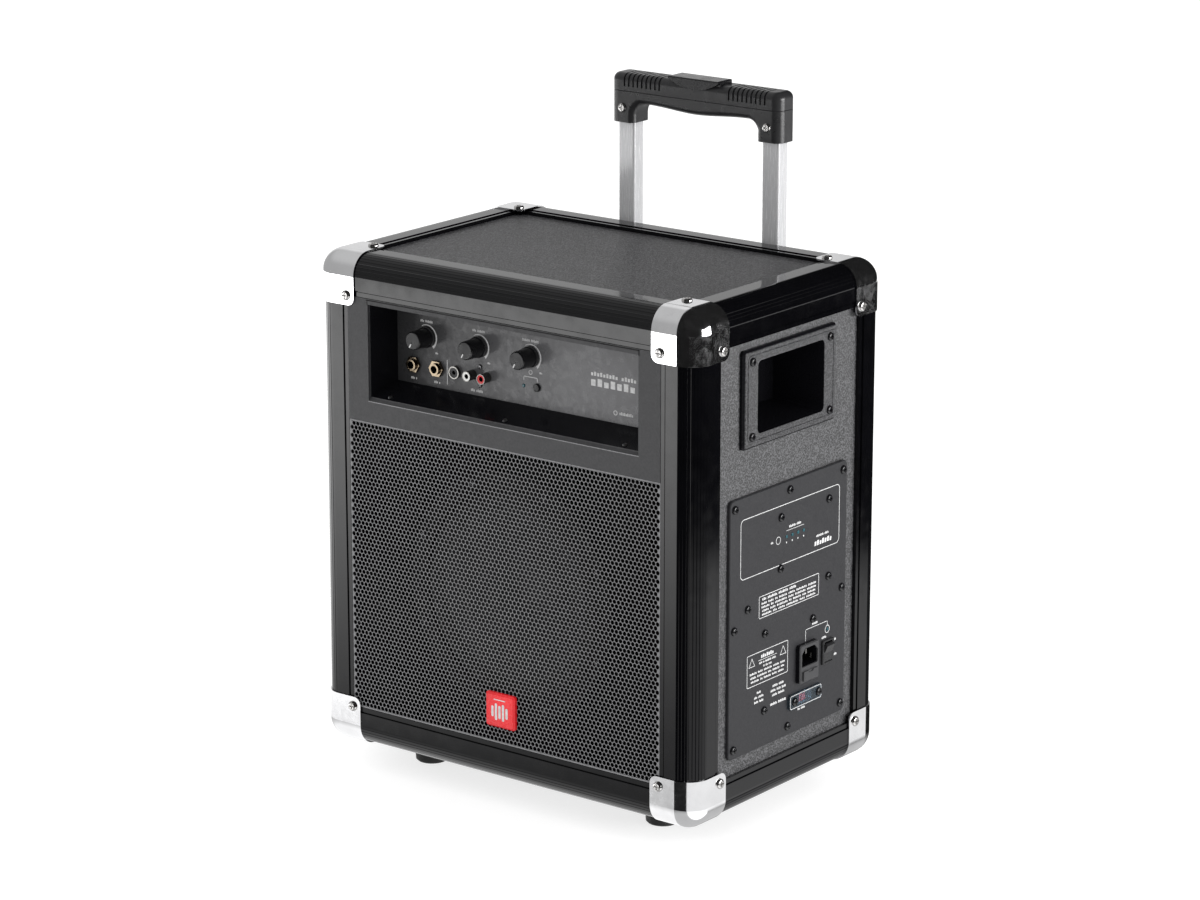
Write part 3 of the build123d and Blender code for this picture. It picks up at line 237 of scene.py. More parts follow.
VINYL = pebbled("pebbled_vinyl", (0.039, 0.039, 0.041), 0.46).mat
GLOSS = polished("gloss_moulding", (0.0015, 0.0015, 0.002), 0.07, Specular_IOR_Level=0.32).mat
CAP = plated("cap_plate", (0.78, 0.78, 0.79), 0.09).mat
SCREW = plated("screw_plate", (0.62, 0.61, 0.60), 0.22).mat
BLACK_SCREW = polished("black_oxide", (0.006, 0.006, 0.007), 0.16).mat
SMALL_SCREW = plated("dark_plate", (0.34, 0.34, 0.35), 0.30).mat
# Light grey for the painted highlight along the bezel sill.
SILL_HIGHLIGHT = coated("painted_sill_highlight", (0.16, 0.16, 0.165), 0.30, 0.5 * MM, 0.01 * MM).mat
SEAM = moulded("seam_black", (0.002, 0.002, 0.002), 0.60, 0.01 * MM).mat
RUBBER = moulded("rubber", (0.012, 0.012, 0.012), 0.72, 0.06 * MM).mat
ABS = coated("textured_abs", (0.024, 0.024, 0.026), 0.40, 0.8 * MM, 0.03 * MM).mat
BEZEL = coated("bezel_abs", (0.034, 0.034, 0.036), 0.40, 0.8 * MM, 0.03 * MM, Specular_IOR_Level=0.40)
# Painted shade: black, glossier and less reflective on the recess walls deeper than BEZEL_BACK.
BEZEL = BEZEL.painted_shade_past(1, BEZEL_BACK, 1)
# Painted shade: black inside the handle cups, inward of CUP_RIM.
CUP = pebbled("handle_abs", (0.027, 0.027, 0.029), 0.46).painted_shade_past(0, CUP_RIM, -1)
CONTROL = coated("control_paint", (0.072, 0.072, 0.075), 0.30, 0.35 * MM, 0.01 * MM)
# Painted reflection and shade: the base colour runs from dark at the left end of the panel to light at the
# right, and the specular level drops to 0.04 at the left. This stands in for the panel mirroring the recess's
# dark left wall on the left and the bright floor on the right.
CONTROL.vary_color(CONTROL.across(0, -0.281, 0.206), 0.30, 1.60)
CONTROL = CONTROL.switch("Specular IOR Level", 0.5, 0.04, CONTROL.across(0, -0.05, -0.14)).mat
PLATE = coated("service_plate_paint", (0.020, 0.020, 0.022), 0.40, 0.9 * MM, 0.08 * MM, Specular_IOR_Level=0.30)
PLATE = PLATE.mat
# Painted shade: the hole walls, the back and the folded edges of the grille, behind GRILLE_SKIN, are black.
GRILLE = coated("grille_paint", (0.15, 0.15, 0.155), 0.30, 0.4 * MM, 0.01 * MM).painted_shade_past(1, GRILLE_SKIN, 1)
BAFFLE = coated("baffle_paint", (0.002, 0.002, 0.002), 0.85, 0.8 * MM, 0.05 * MM, Specular_IOR_Level=0.0).mat
KNOB = moulded("knob_plastic", (0.005, 0.005, 0.006), 0.30, 0.02 * MM).mat
# Printed ink; the same light material also draws the painted highlight round the selector cover.
PRINT_AND_HIGHLIGHT = coated("white_print_and_highlight", (0.52, 0.52, 0.52), 0.55, 0.3 * MM, 0.004 * MM).mat
BRASS = plated("nickel_brass", (0.25, 0.20, 0.14), 0.20).mat
NICKEL = plated("nickel", (0.20, 0.195, 0.185), 0.20).mat
# Painted shade: black inside the white and red phono socket cores, deeper than SOCKET_RIM.
WHITE = moulded("white_plastic", (0.70, 0.70, 0.68), 0.35, 0.02 * MM).painted_shade_past(1, SOCKET_RIM, 1)
RED = moulded("red_plastic", (0.45, 0.010, 0.014), 0.35, 0.02 * MM).painted_shade_past(1, SOCKET_RIM, 1)
SLIDER = moulded("slider_red", (0.80, 0.020, 0.030), 0.35, 0.02 * MM).mat
BADGE = moulded("badge_red", (0.66, 0.010, 0.016), 0.28, 0.015 * MM).mat
LAMP = moulded("lamp_lens", (0.010, 0.060, 0.075), 0.18, 0.006 * MM).mat
# Painted shade: black inside the mains inlet, inward of INLET_RIM.
INLET = moulded("inlet_plastic", (0.034, 0.034, 0.036), 0.36, 0.02 * MM).painted_shade_past(0, INLET_RIM, -1)
SWITCH = moulded("switch_plastic", (0.016, 0.016, 0.017), 0.28, 0.02 * MM).mat
CLEAR = polished("clear_cover", (0.50, 0.66, 0.80), 0.04, Transmission_Weight=0.96, IOR=1.2).mat
TUBE = brushed("tube_aluminium", (0.52, 0.52, 0.53), 0.24, 2, 0.30).mat
GRIP = moulded("grip_plastic", (0.016, 0.016, 0.017), 0.30, 0.03 * MM).mat
KEY = moulded("key_plastic", (0.004, 0.004, 0.005), 0.24, 0.02 * MM).mat
BOARD = coated("circuit_board", (0.02, 0.10, 0.045), 0.45, 0.4 * MM, 0.02 * MM).mat
CASE_GREY = moulded("battery_case", (0.05, 0.05, 0.055), 0.5, 0.05 * MM).mat
ZINC = plated("zinc_plate", (0.55, 0.55, 0.57), 0.34).mat
BASKET = coated("basket_paint", (0.004, 0.004, 0.004), 0.5, Specular_IOR_Level=0.06).mat
FERRITE = coated("ferrite", (0.05, 0.05, 0.05), 0.6, 0.8 * MM, 0.06 * MM).mat
PAPER = coated("cone_paper", (0.022, 0.022, 0.023), 0.62, 1.2 * MM, 0.08 * MM, Specular_IOR_Level=0.06).mat
ROLL = moulded("surround_rubber", (0.012, 0.012, 0.012), 0.42, 0.02 * MM, Specular_IOR_Level=0.10).mat
TYRE = moulded("soft_tyre", (0.014, 0.014, 0.014), 0.66, 0.08 * MM).mat
HUB = moulded("hub_plastic", (0.05, 0.05, 0.052), 0.42, 0.04 * MM).mat

NODE_MATERIALS = {
    VINYL: ["panel_left", "panel_right", "panel_bottom", "panel_rear", "panel_top"],
    BAFFLE: ["front_baffle"],
    GLOSS: ["corner_blocks"],
    CAP: ["corner_caps"],
    SCREW: ["cap_screws", "grip_screws"],
    BLACK_SCREW: ["black_screws"],
    SMALL_SCREW: ["small_screws"],
    RUBBER: ["feet"],
    ABS: ["trolley_bracket", "trolley_base"],
    BEZEL: ["control_bezel"],
    CUP: ["handle_cup_left", "handle_cup_right"],
    CONTROL: ["control_panel"],
    PLATE: ["amp_plate"],
    KNOB: ["knob_mic", "knob_aux", "knob_master", "pair_button", "aux_jack"],
    BRASS: ["mic_jacks"],
    NICKEL: ["socket_rings", "iec_pins"],
    WHITE: ["rca_white"],
    RED: ["rca_red"],
    SLIDER: ["selector_slider"],
    BADGE: ["grille_badge"],
    LAMP: ["indicator_lamps"],
    INLET: ["iec_inlet", "fuse_drawer"],
    SWITCH: ["switch_frame", "power_rocker", "selector_body"],
    CLEAR: ["selector_cover"],
    TUBE: ["trolley_outer", "trolley_middle", "trolley_inner"],
    GRIP: ["grip_lower", "grip_upper"],
    KEY: ["release_button"],
    BOARD: ["control_board", "amp_board"],
    CASE_GREY: ["battery_pack"],
    ZINC: ["battery_strap", "wheel_axle"],
    BASKET: ["woofer_basket"],
    FERRITE: ["woofer_motor"],
    PAPER: ["woofer_cone"],
    ROLL: ["woofer_surround"],
    TYRE: ["wheel_left_tyre", "wheel_right_tyre"],
    HUB: ["wheel_left_hub", "wheel_right_hub"],
}
for material, names in NODE_MATERIALS.items():
    for name in names:
        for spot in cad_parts[name].material_slots:
            spot.material = material


# ---------------------------------------------------------------------------
# Mesh helpers
# ---------------------------------------------------------------------------
def piece(name, mesh_or_bm, material, body, sharp=35):
    """Links a mesh, rides it on a body and gives it a material."""
    if isinstance(mesh_or_bm, bmesh.types.BMesh):
        bmesh.ops.recalc_face_normals(mesh_or_bm, faces=mesh_or_bm.faces)
        mesh = bpy.data.meshes.new(name)
        mesh_or_bm.to_mesh(mesh)
        mesh_or_bm.free()
    else:
        mesh = mesh_or_bm
    for polygon in mesh.polygons:
        polygon.use_smooth = True
    mesh.set_sharp_from_angle(angle=math.radians(sharp))
    mesh.materials.clear()
    mesh.materials.append(material)
    obj = bpy.data.objects.new(name, mesh)
    bpy.context.scene.collection.objects.link(obj)
    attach(obj, body)
    return obj


def prism(bm, ring, offset):
    """A closed solid between a ring of points and the ring moved by offset."""
    low = [bm.verts.new(p) for p in ring]
    high = [bm.verts.new(p + offset) for p in ring]
    n = len(ring)
    for i in range(n):
        j = (i + 1) % n
        bm.faces.new((low[i], low[j], high[j], high[i]))
    bm.faces.new(low)
    bm.faces.new(high[::-1])


# ---------------------------------------------------------------------------
# Edge mouldings: the CAD section with the fine ribs round its nose.
# ---------------------------------------------------------------------------
CAP_T = 1.2 * MM
NOSE_R = 18.0 * MM
RAIL_LEG = 34.0 * MM
RAIL_T = 4.0 * MM
RAIL_NOSE = 14.5 * MM
BAND_END = 29.2 * MM
GROOVE_W = 1.2 * MM
GROOVE_DEEP = 1.5 * MM
LIP_DROP = 0.8 * MM
RIBS = 10
RIB_DEEP = 0.26 * MM
RIB_HALF = math.radians(1.0)
RAIL_END = 40.2 * MM


def nose_points():
    """Points from (NOSE_R, 0) round to (0, NOSE_R), dipping at every rib."""
    points = []
    for k in range(RIBS + 1):
        middle = math.radians(90.0) * k / RIBS
        for turn, dip in ((-RIB_HALF, 0.0), (0.0, RIB_DEEP), (RIB_HALF, 0.0)):
            angle = middle + turn
            if 0 <= angle <= math.radians(90):
                r = NOSE_R - (dip if 0 < k < RIBS else 0.0)
                points.append((NOSE_R - r * math.sin(angle), NOSE_R - r * math.cos(angle)))
        if k < RIBS:
            half_way = middle + math.radians(45.0) / RIBS
            a = NOSE_R - NOSE_R * math.sin(half_way)
            points.append((a, NOSE_R - NOSE_R * math.cos(half_way)))
    return points


def rail_section():
    g0, g1 = BAND_END, BAND_END + GROOVE_W
    leg, t, nose = RAIL_LEG, RAIL_T, RAIL_NOSE
    side = [(leg, LIP_DROP), (g1, LIP_DROP), (g1, GROOVE_DEEP), (g0, GROOVE_DEEP), (g0, 0.0)]
    other = [(b, a) for a, b in reversed(side)]
    inner = [(t, leg), (t, nose), (nose, nose), (nose, t), (leg, t)]
    return side + nose_points() + other + inner


def make_rails():
    section = rail_section()
    lo = CASE_LO + Vector((CAP_T,) * 3)
    hi = CASE_HI - Vector((CAP_T,) * 3)
    for along in range(3):
        first, second = [axis for axis in range(3) if axis != along]
        count = 0
        for s1 in (-1, 1):
            for s2 in (-1, 1):
                start, e1, e2, run = Vector(), Vector(), Vector(), Vector()
                start[first] = hi[first] if s1 > 0 else lo[first]
                start[second] = hi[second] if s2 > 0 else lo[second]
                start[along] = CASE_LO[along] + RAIL_END
                e1[first] = -s1
                e2[second] = -s2
                run[along] = CASE_HI[along] - CASE_LO[along] - 2 * RAIL_END
                bm = bmesh.new()
                prism(bm, [start + e1 * a + e2 * b for a, b in section], run)
                name = "rail_%s_%d" % ("wide deep tall".split()[along], count)
                rail = piece(name, bm, GLOSS, CABINET, 20)
                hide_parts("edge_rails")
                count += 1


make_rails()


# ---------------------------------------------------------------------------
# Perforated grille: staggered round holes in horizontal rows.
# ---------------------------------------------------------------------------
HOLE_PITCH = 4.08 * MM
HOLE_R = 1.88 * MM
GRILLE_T = 0.7 * MM
FOLD_T = 1.2 * MM
GRILLE_MARGIN = 0.2 * MM
NOTCH = 5.3 * MM


def hexagon(radius, count, turn=0.0):
    return [(radius * math.sin(turn + math.tau * k / count), radius * math.cos(turn + math.tau * k / count))
            for k in range(count)]


def make_grille():
    lo, hi = (Vector(v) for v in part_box("front_grille"))
    face, back = lo.y, lo.y + GRILLE_T
    row = HOLE_PITCH * math.sqrt(3) / 2
    hex_r = HOLE_PITCH / math.sqrt(3)
    mid_x, mid_z = (lo.x + hi.x) / 2, (lo.z + hi.z) / 2
    cols = int((hi.x - lo.x - 2 * GRILLE_MARGIN) / HOLE_PITCH)
    rows = int((hi.z - lo.z - 2 * GRILLE_MARGIN) / row)
    outer = hexagon(hex_r, 6)
    inner = hexagon(HOLE_R, 12)
    verts, faces, known = [], [], {}

    def vert(x, y, z):
        key = (round(x / MM * 50), round(y / MM * 50), round(z / MM * 50))
        if key not in known:
            known[key] = len(verts)
            verts.append((x, y, z))
        return known[key]

    for r in range(rows):
        z = mid_z + (r - (rows - 1) / 2) * row
        shift = 0.25 if r % 2 else -0.25
        for c in range(cols):
            x = mid_x + (c - (cols - 1) / 2 + shift) * HOLE_PITCH
            loops = []
            for y in (face, back):
                out = [vert(x + dx, y, z + dz) for dx, dz in outer]
                hole = [vert(x + dx, y, z + dz) for dx, dz in inner]
                loops.append((out, hole))
                for k in range(6):
                    a, b = 2 * k, (2 * k + 2) % 12
                    ring = (out[k], out[(k + 1) % 6], hole[b], hole[a + 1], hole[a])
                    faces.append(ring if y == back else ring[::-1])
            front, rear = loops[0][1], loops[1][1]
            for k in range(12):
                j = (k + 1) % 12
                faces.append((front[k], rear[k], rear[j], front[j]))
    edges_used = dict.fromkeys((a, f[(i + 1) % len(f)]) for f in faces for i, a in enumerate(f))
    for a, b in edges_used:
        if (b, a) not in edges_used and abs(verts[a][1] - face) < 1e-9 and abs(verts[b][1] - face) < 1e-9:
            ra = vert(verts[a][0], back, verts[a][2])
            rb = vert(verts[b][0], back, verts[b][2])
            faces.append((b, a, ra, rb))
    mesh = bpy.data.meshes.new("grille_sheet")
    mesh.from_pydata(verts, [], faces)
    mesh.update()
    sheet = piece("grille_sheet", mesh, GRILLE, CABINET, 40)
    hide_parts("front_grille")

    # The plain margin with its edges folded back, open where the corners are notched.
    frame_in = (hi.x - lo.x - (cols + 0.5) * HOLE_PITCH) / 2 + 0.15 * MM
    frame_up = (hi.z - lo.z - rows * row) / 2 - hex_r / 4 + 0.5 * MM
    proud = 0.06 * MM
    bm = bmesh.new()
    n, wall = NOTCH, FOLD_T
    x0, x1, z0, z1 = lo.x, hi.x, lo.z, hi.z
    strips = [
        ((x0 + n, z0), (x1 - n, z0 + frame_up)),
        ((x0, z1 - frame_up), (x1, z1)),
        ((x0, z0 + n), (x0 + frame_in, z1 - frame_up)),
        ((x1 - frame_in, z0 + n), (x1, z1 - frame_up)),
    ]
    for (a, c), (b, d) in strips:
        ring = [Vector((a, face - proud, c)), Vector((b, face - proud, c)),
                Vector((b, face - proud, d)), Vector((a, face - proud, d))]
        prism(bm, ring, Vector((0, GRILLE_T + 2 * proud, 0)))
    half = HOLE_PITCH / 2
    for r in range(rows):
        z = mid_z + (r - (rows - 1) / 2) * row
        side = 1 if r % 2 else -1
        x = x0 + frame_in if side > 0 else x1 - frame_in
        tall, short = hex_r - 0.05 * MM, hex_r / 2
        ring = [Vector((x, face - proud, z - tall)), Vector((x + side * half, face - proud, z - short)),
                Vector((x + side * half, face - proud, z + short)), Vector((x, face - proud, z + tall))]
        prism(bm, ring if side > 0 else ring[::-1], Vector((0, GRILLE_T + 2 * proud, 0)))
    folds = [
        ((x0 + n, z0), (x1 - n, z0 + wall)), ((x0, z1 - wall), (x1, z1)),
        ((x0, z0 + n), (x0 + wall, z1 - wall)), ((x1 - wall, z0 + n), (x1, z1 - wall)),
    ]
    for (a, c), (b, d) in folds:
        y = face + GRILLE_T + proud
        ring = [Vector((a, y, c)), Vector((b, y, c)), Vector((b, y, d)), Vector((a, y, d))]
        prism(bm, ring, Vector((0, hi.y - y, 0)))
    rim = piece("grille_rim", bm, GRILLE, CABINET)
    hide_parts("front_grille")


make_grille()


# ---------------------------------------------------------------------------
# Printed marks, seams and painted highlight strips: thin raised layers, laid out in millimetres from the case
# centre.
# ---------------------------------------------------------------------------
OVERLAY_PROUD = 0.08 * MM
MARK_CUTS = (0.0, 0.28, 0.0, 0.16)
MARK_FILL = 0.68
FRONT = (Vector((1, 0, 0)), Vector((0, 0, 1)), Vector((0, -1, 0)))
RIGHT = (Vector((0, 1, 0)), Vector((0, 0, 1)), Vector((1, 0, 0)))


class FaceOverlay:
    """Raised shapes on one flat face (printed ink, seams and painted highlights), u to the right and v up as it
    is looked at.
    """

    def __init__(self, way, face):
        self.across, self.up, self.out = way
        self.origin = CASE_MID.copy()
        axis = 1 if way is FRONT else 0
        self.origin[axis] = face
        self.bm = bmesh.new()

    def spot(self, node):
        lo, hi = (Vector(v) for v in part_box(node))
        middle = (lo + hi) / 2 - self.origin
        return middle.dot(self.across) / MM, middle.dot(self.up) / MM

    def shape(self, points):
        ring = [self.origin + self.across * (u * MM) + self.up * (v * MM) for u, v in points]
        prism(self.bm, ring, self.out * OVERLAY_PROUD)

    def bar(self, u0, v0, u1, v1):
        self.shape([(u0, v0), (u1, v0), (u1, v1), (u0, v1)])

    def arc(self, u, v, radius, start, end, wide, wide_end=None, steps=24):
        """A curved stroke; angles in degrees clockwise from the top."""
        wide_end = wide if wide_end is None else wide_end
        sides = []
        for k in range(steps + 1):
            part = k / steps
            angle = math.radians(start + (end - start) * part)
            half = (wide + (wide_end - wide) * part) / 2
            way = (math.sin(angle), math.cos(angle))
            sides.append([(u + way[0] * (radius + h), v + way[1] * (radius + h)) for h in (-half, half)])
        for (a, b), (c, d) in zip(sides, sides[1:]):
            self.shape([a, b, d, c])

    def ring(self, u, v, radius, wide):
        self.arc(u, v, radius, 0, 360, wide, steps=32)

    def path(self, points, wide):
        """Straight strokes that run along u or v, with square ends."""
        h = wide / 2
        for (a, b), (c, d) in zip(points, points[1:]):
            self.bar(min(a, c) - h, min(b, d) - h, max(a, c) + h, max(b, d) + h)

    def outline(self, u0, v0, u1, v1, wide, r=0.0):
        h = wide / 2
        self.bar(u0 + r, v0 - h, u1 - r, v0 + h)
        self.bar(u0 + r, v1 - h, u1 - r, v1 + h)
        self.bar(u0 - h, v0 + r, u0 + h, v1 - r)
        self.bar(u1 - h, v0 + r, u1 + h, v1 - r)
        corners = ((u0 + r, v0 + r, 180), (u0 + r, v1 - r, 270), (u1 - r, v1 - r, 0), (u1 - r, v0 + r, 90))
        for u, v, start in corners:
            self.arc(u, v, max(r, h), start, start + 90, wide, steps=6)

    def words(self, u, v, high, counts, wide=0.62, lean=0.0):
        """A line of plain marks set out like words, centred on u: no lettering."""
        step = high * wide
        total = (sum(counts) + len(counts) - 1) * step
        at = u - total / 2
        for count in counts:
            for k in range(count):
                top = v + high - high * MARK_CUTS[(k + count) % len(MARK_CUTS)]
                w = step * MARK_FILL
                self.shape([(at, v), (at + w, v), (at + w + lean, top), (at + lean, top)])
                at += step
            at += step

    def done(self, name, material, body):
        return piece(name, self.bm, material, body)


def face_of(node, axis, side):
    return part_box(node)[side][axis]


def make_control_marks():
    overlay = FaceOverlay(FRONT, face_of("control_panel", 1, 0))
    for node, counts in (("knob_mic", (3, 6)), ("knob_aux", (3, 6)), ("knob_master", (6, 6))):
        u, v = overlay.spot(node)
        overlay.arc(u, v, 10.2, -32, 128, 0.55, 1.5)
        overlay.arc(u, v, 10.2, 128, 142, 1.5, 2.4, steps=4)
        overlay.words(u, v + 12.2, 2.1, counts)
        overlay.words(u + 10.5, v - 13.0, 1.6, (3,))
    low = 107.0
    for x in (-116.8, -92.0):
        overlay.words(x, low, 2.1, (3, 1))
    overlay.words(-50.0, low - 0.6, 2.3, (3, 5))
    overlay.bar(-81.7, 107.7, -81.1, 128.4)
    lamp_u, button_u = -1.1, 12.8
    overlay.path([(lamp_u, 124.6), (lamp_u, 127.6), (button_u, 127.6), (button_u, 124.6)], 0.5)
    overlay.ring(0.5 * (lamp_u + button_u), 131.6, 1.7, 0.5)
    overlay.words(90.5, 138.9, 3.4, (9, 5), 0.90)
    overlay.words(90.5, 130.6, 6.3, (7,), 1.04)
    overlay.ring(92.0, 111.8, 1.7, 0.7)
    overlay.words(103.0, 110.7, 2.5, (9,))
    overlay.done("control_marks", PRINT_AND_HIGHLIGHT, CABINET)


def make_plate_marks():
    overlay = FaceOverlay(RIGHT, face_of("amp_plate", 0, 1))
    overlay.outline(-67.0, -16.0, 70.6, 33.5, 0.55, 4.0)
    for k in range(4):
        overlay.bar(-4.5 + 8.0 * k, 0.4, -3.5 + 8.0 * k, 1.8)
    overlay.ring(-15.4, 5.2, 3.0, 0.45)
    overlay.words(-24.0, 4.4, 1.8, (3,))
    overlay.words(8.0, 12.6, 2.1, (7, 5))
    overlay.path([(-4.0, 10.8), (20.0, 10.8)], 0.35)
    overlay.words(47.0, -4.6, 1.9, (9, 5))
    overlay.words(48.0, -11.6, 4.2, (7,), 0.85, 0.6)
    overlay.outline(-41.0, -54.2, 42.4, -36.0, 0.5, 1.0)
    overlay.words(-13.0, -39.8, 2.2, (3, 7, 7, 5), 0.86)
    rows = ((4, 4, 2, 6, 5, 8, 6), (6, 2, 9, 4, 8, 7), (5, 4, 8, 2, 6, 3, 6), (7, 3, 5, 9, 4, 7))
    for k, counts in enumerate(rows):
        overlay.words(0.7, -43.2 - 3.1 * k, 1.7, counts, 1.10)
    overlay.outline(-56.7, -109.0, -0.4, -82.2, 0.5, 1.0)
    for u in (-50.2, -6.9):
        for k in range(3):
            a, b = math.radians(120 * k), math.radians(120 * k + 120)
            p, q = [(u + 5.0 * math.sin(t), -90.0 + 5.0 * math.cos(t)) for t in (a, b)]
            p2, q2 = [(u + 4.1 * math.sin(t), -90.0 + 4.1 * math.cos(t)) for t in (a, b)]
            overlay.shape([p, q, q2, p2])
    overlay.words(-28.5, -88.0, 3.0, (7,), 0.85)
    overlay.path([(-41.0, -89.4), (-16.0, -89.4)], 0.35)
    rows = ((4, 2, 8, 5), (2, 3, 4), (6, 4, 7, 5, 4), (5, 8, 3, 6, 3), (7, 2, 6, 4, 5))
    for k, counts in enumerate(rows):
        overlay.words(-28.5, -92.6 - 3.4 * k, 1.7, counts, 0.62 if k < 2 else 0.96)
    for u, rows in ((-40.0, ((4,), (3, 5), (4, 4))), (-13.0, ((5, 5), (5, 4, 4), (5, 6)))):
        for k, counts in enumerate(rows):
            overlay.words(u, -117.0 - 3.9 * k, 2.0, counts, 0.72)
    overlay.words(-13.0, -132.4, 2.2, (7, 8), 0.62)
    overlay.path([(24.8, -89.4), (24.8, -80.2), (55.9, -80.2), (55.9, -83.8)], 0.45)
    overlay.words(38.0, -78.4, 2.1, (6,))
    overlay.ring(55.9, -87.2, 3.1, 0.5)
    overlay.words(51.5, -94.2, 2.1, (5,))
    overlay.words(67.6, -99.6, 2.1, (2,))
    overlay.words(68.2, -112.6, 2.1, (3,))
    overlay.words(20.0, -146.6, 1.9, (3, 5))
    overlay.done("plate_marks", PRINT_AND_HIGHLIGHT, CABINET)


def make_knob_pointers():
    for name in ("mic", "aux", "master"):
        node = "knob_" + name
        overlay = FaceOverlay(FRONT, face_of(node, 1, 0) + 0.5 * MM)
        u, v = overlay.spot(node)
        way = (-0.5, -math.sqrt(0.75))
        side = (way[1] * 0.55, -way[0] * 0.55)
        ring = []
        for r, s in ((3.4, 1), (6.9, 1), (6.9, -1), (3.4, -1)):
            ring.append((u + way[0] * r + side[0] * s, v + way[1] * r + side[1] * s))
        points = [overlay.origin + overlay.across * (a * MM) + overlay.up * (b * MM) for a, b in ring]
        prism(overlay.bm, points, overlay.out * 0.55 * MM)
        overlay.done("pointer_" + name, PRINT_AND_HIGHLIGHT, name + "_knob")


def make_badge_mark():
    overlay = FaceOverlay(FRONT, face_of("grille_badge", 1, 0))
    u, v = overlay.spot("grille_badge")
    for k, high in enumerate((7.0, 12.0, 9.0, 12.0, 7.0)):
        x = u + (k - 2) * 3.7
        overlay.bar(x - 1.2, v - high / 2 - 1, x + 1.2, v + high / 2 - 1)
        overlay.arc(x, v + high / 2 - 1, 0.6, -90, 90, 1.2, steps=8)
        overlay.arc(x, v - high / 2 - 1, 0.6, 90, 270, 1.2, steps=8)
    overlay.bar(u - 6.0, v + 9.0, u + 6.0, v + 9.8)
    overlay.done("badge_mark", PRINT_AND_HIGHLIGHT, CABINET)


# Painted highlight: a thin light outline round the clear selector cover, standing in for the light its edges
# catch.
def make_selector_highlight():
    lo, hi = (Vector(v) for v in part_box("selector_cover"))
    overlay = FaceOverlay(RIGHT, hi.x)
    u, v = overlay.spot("selector_cover")
    wide, high = (hi.y - lo.y) / MM / 2 - 1.0, (hi.z - lo.z) / MM / 2 - 1.0
    overlay.outline(u - wide, v - high, u + wide, v + high, 0.45, 1.5)
    overlay.done("selector_painted_highlight", PRINT_AND_HIGHLIGHT, CABINET)


def make_bezel_lines():
    """The seam of the strip over the panel opening, and a painted highlight along the edge of its sill that
    stands in for the light its bevel catches.
    """
    overlay = FaceOverlay(FRONT, face_of("control_bezel", 1, 0))
    top, sill, half = 176.3, 90.9, 139.4
    overlay.path([(-half, top - 3.8), (-half, top), (half, top), (half, top - 3.8)], 1.0)
    overlay.done("bezel_seam", SEAM, CABINET)
    # Painted highlight: a light grey strip along the sill edge.
    overlay = FaceOverlay(FRONT, face_of("control_bezel", 1, 0))
    overlay.bar(-half, sill - 0.35, half, sill + 0.35)
    overlay.done("bezel_sill_highlight", SILL_HIGHLIGHT, CABINET)


BEAD_IN = 5.4 * MM
BEAD_W = 1.9 * MM
BEAD_H = 0.8 * MM
BEAD_R = 3.0 * MM
BEAD_PROFILE = ((-0.5, -0.2), (-0.3, 0.75), (0.0, 1.0), (0.3, 0.75), (0.5, -0.2))


def make_cup_bead(side, hand):
    """The rounded bead moulded round a carrying handle's frame, outside its screws."""
    lo, hi = (Vector(v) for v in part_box("handle_cup_" + hand))
    middle = (lo + hi) / 2
    face = max(abs(lo.x), abs(hi.x))
    half_y, half_z = (hi.y - lo.y) / 2 - BEAD_IN, (hi.z - lo.z) / 2 - BEAD_IN
    bm = bmesh.new()
    loops = []
    for way, proud in BEAD_PROFILE:
        radius = BEAD_R + way * BEAD_W
        loop = []
        for corner, (sy, sz) in enumerate(((1, 1), (-1, 1), (-1, -1), (1, -1))):
            for step in range(6):
                angle = math.radians(90 * corner + 18 * step)
                y = middle.y + sy * (half_y - BEAD_R) + radius * math.cos(angle)
                z = middle.z + sz * (half_z - BEAD_R) + radius * math.sin(angle)
                loop.append(bm.verts.new((side * (face + proud * BEAD_H), y, z)))
        loops.append(loop)
    for low, high in zip(loops, loops[1:]):
        for i in range(len(low)):
            j = (i + 1) % len(low)
            bm.faces.new((low[i], low[j], high[j], high[i]))
    piece("cup_bead_" + hand, bm, CUP, CABINET, 60)


make_cup_bead(1, "right")
make_cup_bead(-1, "left")
make_bezel_lines()
make_control_marks()
make_plate_marks()
make_knob_pointers()
make_badge_mark()
make_selector_highlight()


# ---------------------------------------------------------------------------
# Floor, light and camera
# ---------------------------------------------------------------------------
SKY_LIGHT = 1.25
ROOM_GLOW = 0.012
FLOOR_GLOW = 5.0
FAR_GLOW = 0.6
RIGHT_GLOW = 1.0
REAR_GLOW = 0.35
HIGH_GLOW = 0.15
WALL_GLOW = 0.45
STRIP_GLOW = 1.6
UNDER_GLOW = 0.6
FLOOR_SIZE = 30.0
FLOOR_LIT = 0.75
FILL_AT = (2.6, 0.9, 0.55)
FILL_WIDE, FILL_TALL = 2.2, 1.0
FILL_POWER = 75


def make_floor():
    size = FLOOR_SIZE
    corners = [(-size, -size, 0), (size, -size, 0), (size, size, 0), (-size, size, 0)]
    mesh = bpy.data.meshes.new("floor")
    mesh.from_pydata(corners, [], [(0, 1, 2, 3)])
    floor = bpy.data.objects.new("floor", mesh)
    bpy.context.scene.collection.objects.link(floor)
    paint = coated("lit_floor", (0.36, 0.36, 0.36), 0.75, 2 * MM, 0.01 * MM, Specular_IOR_Level=0.2)
    paint.set("Emission Color", (1.0, 1.0, 1.0, 1))
    paint.set("Emission Strength", FLOOR_LIT)
    mesh.materials.append(paint.mat)
    floor.visible_glossy = False


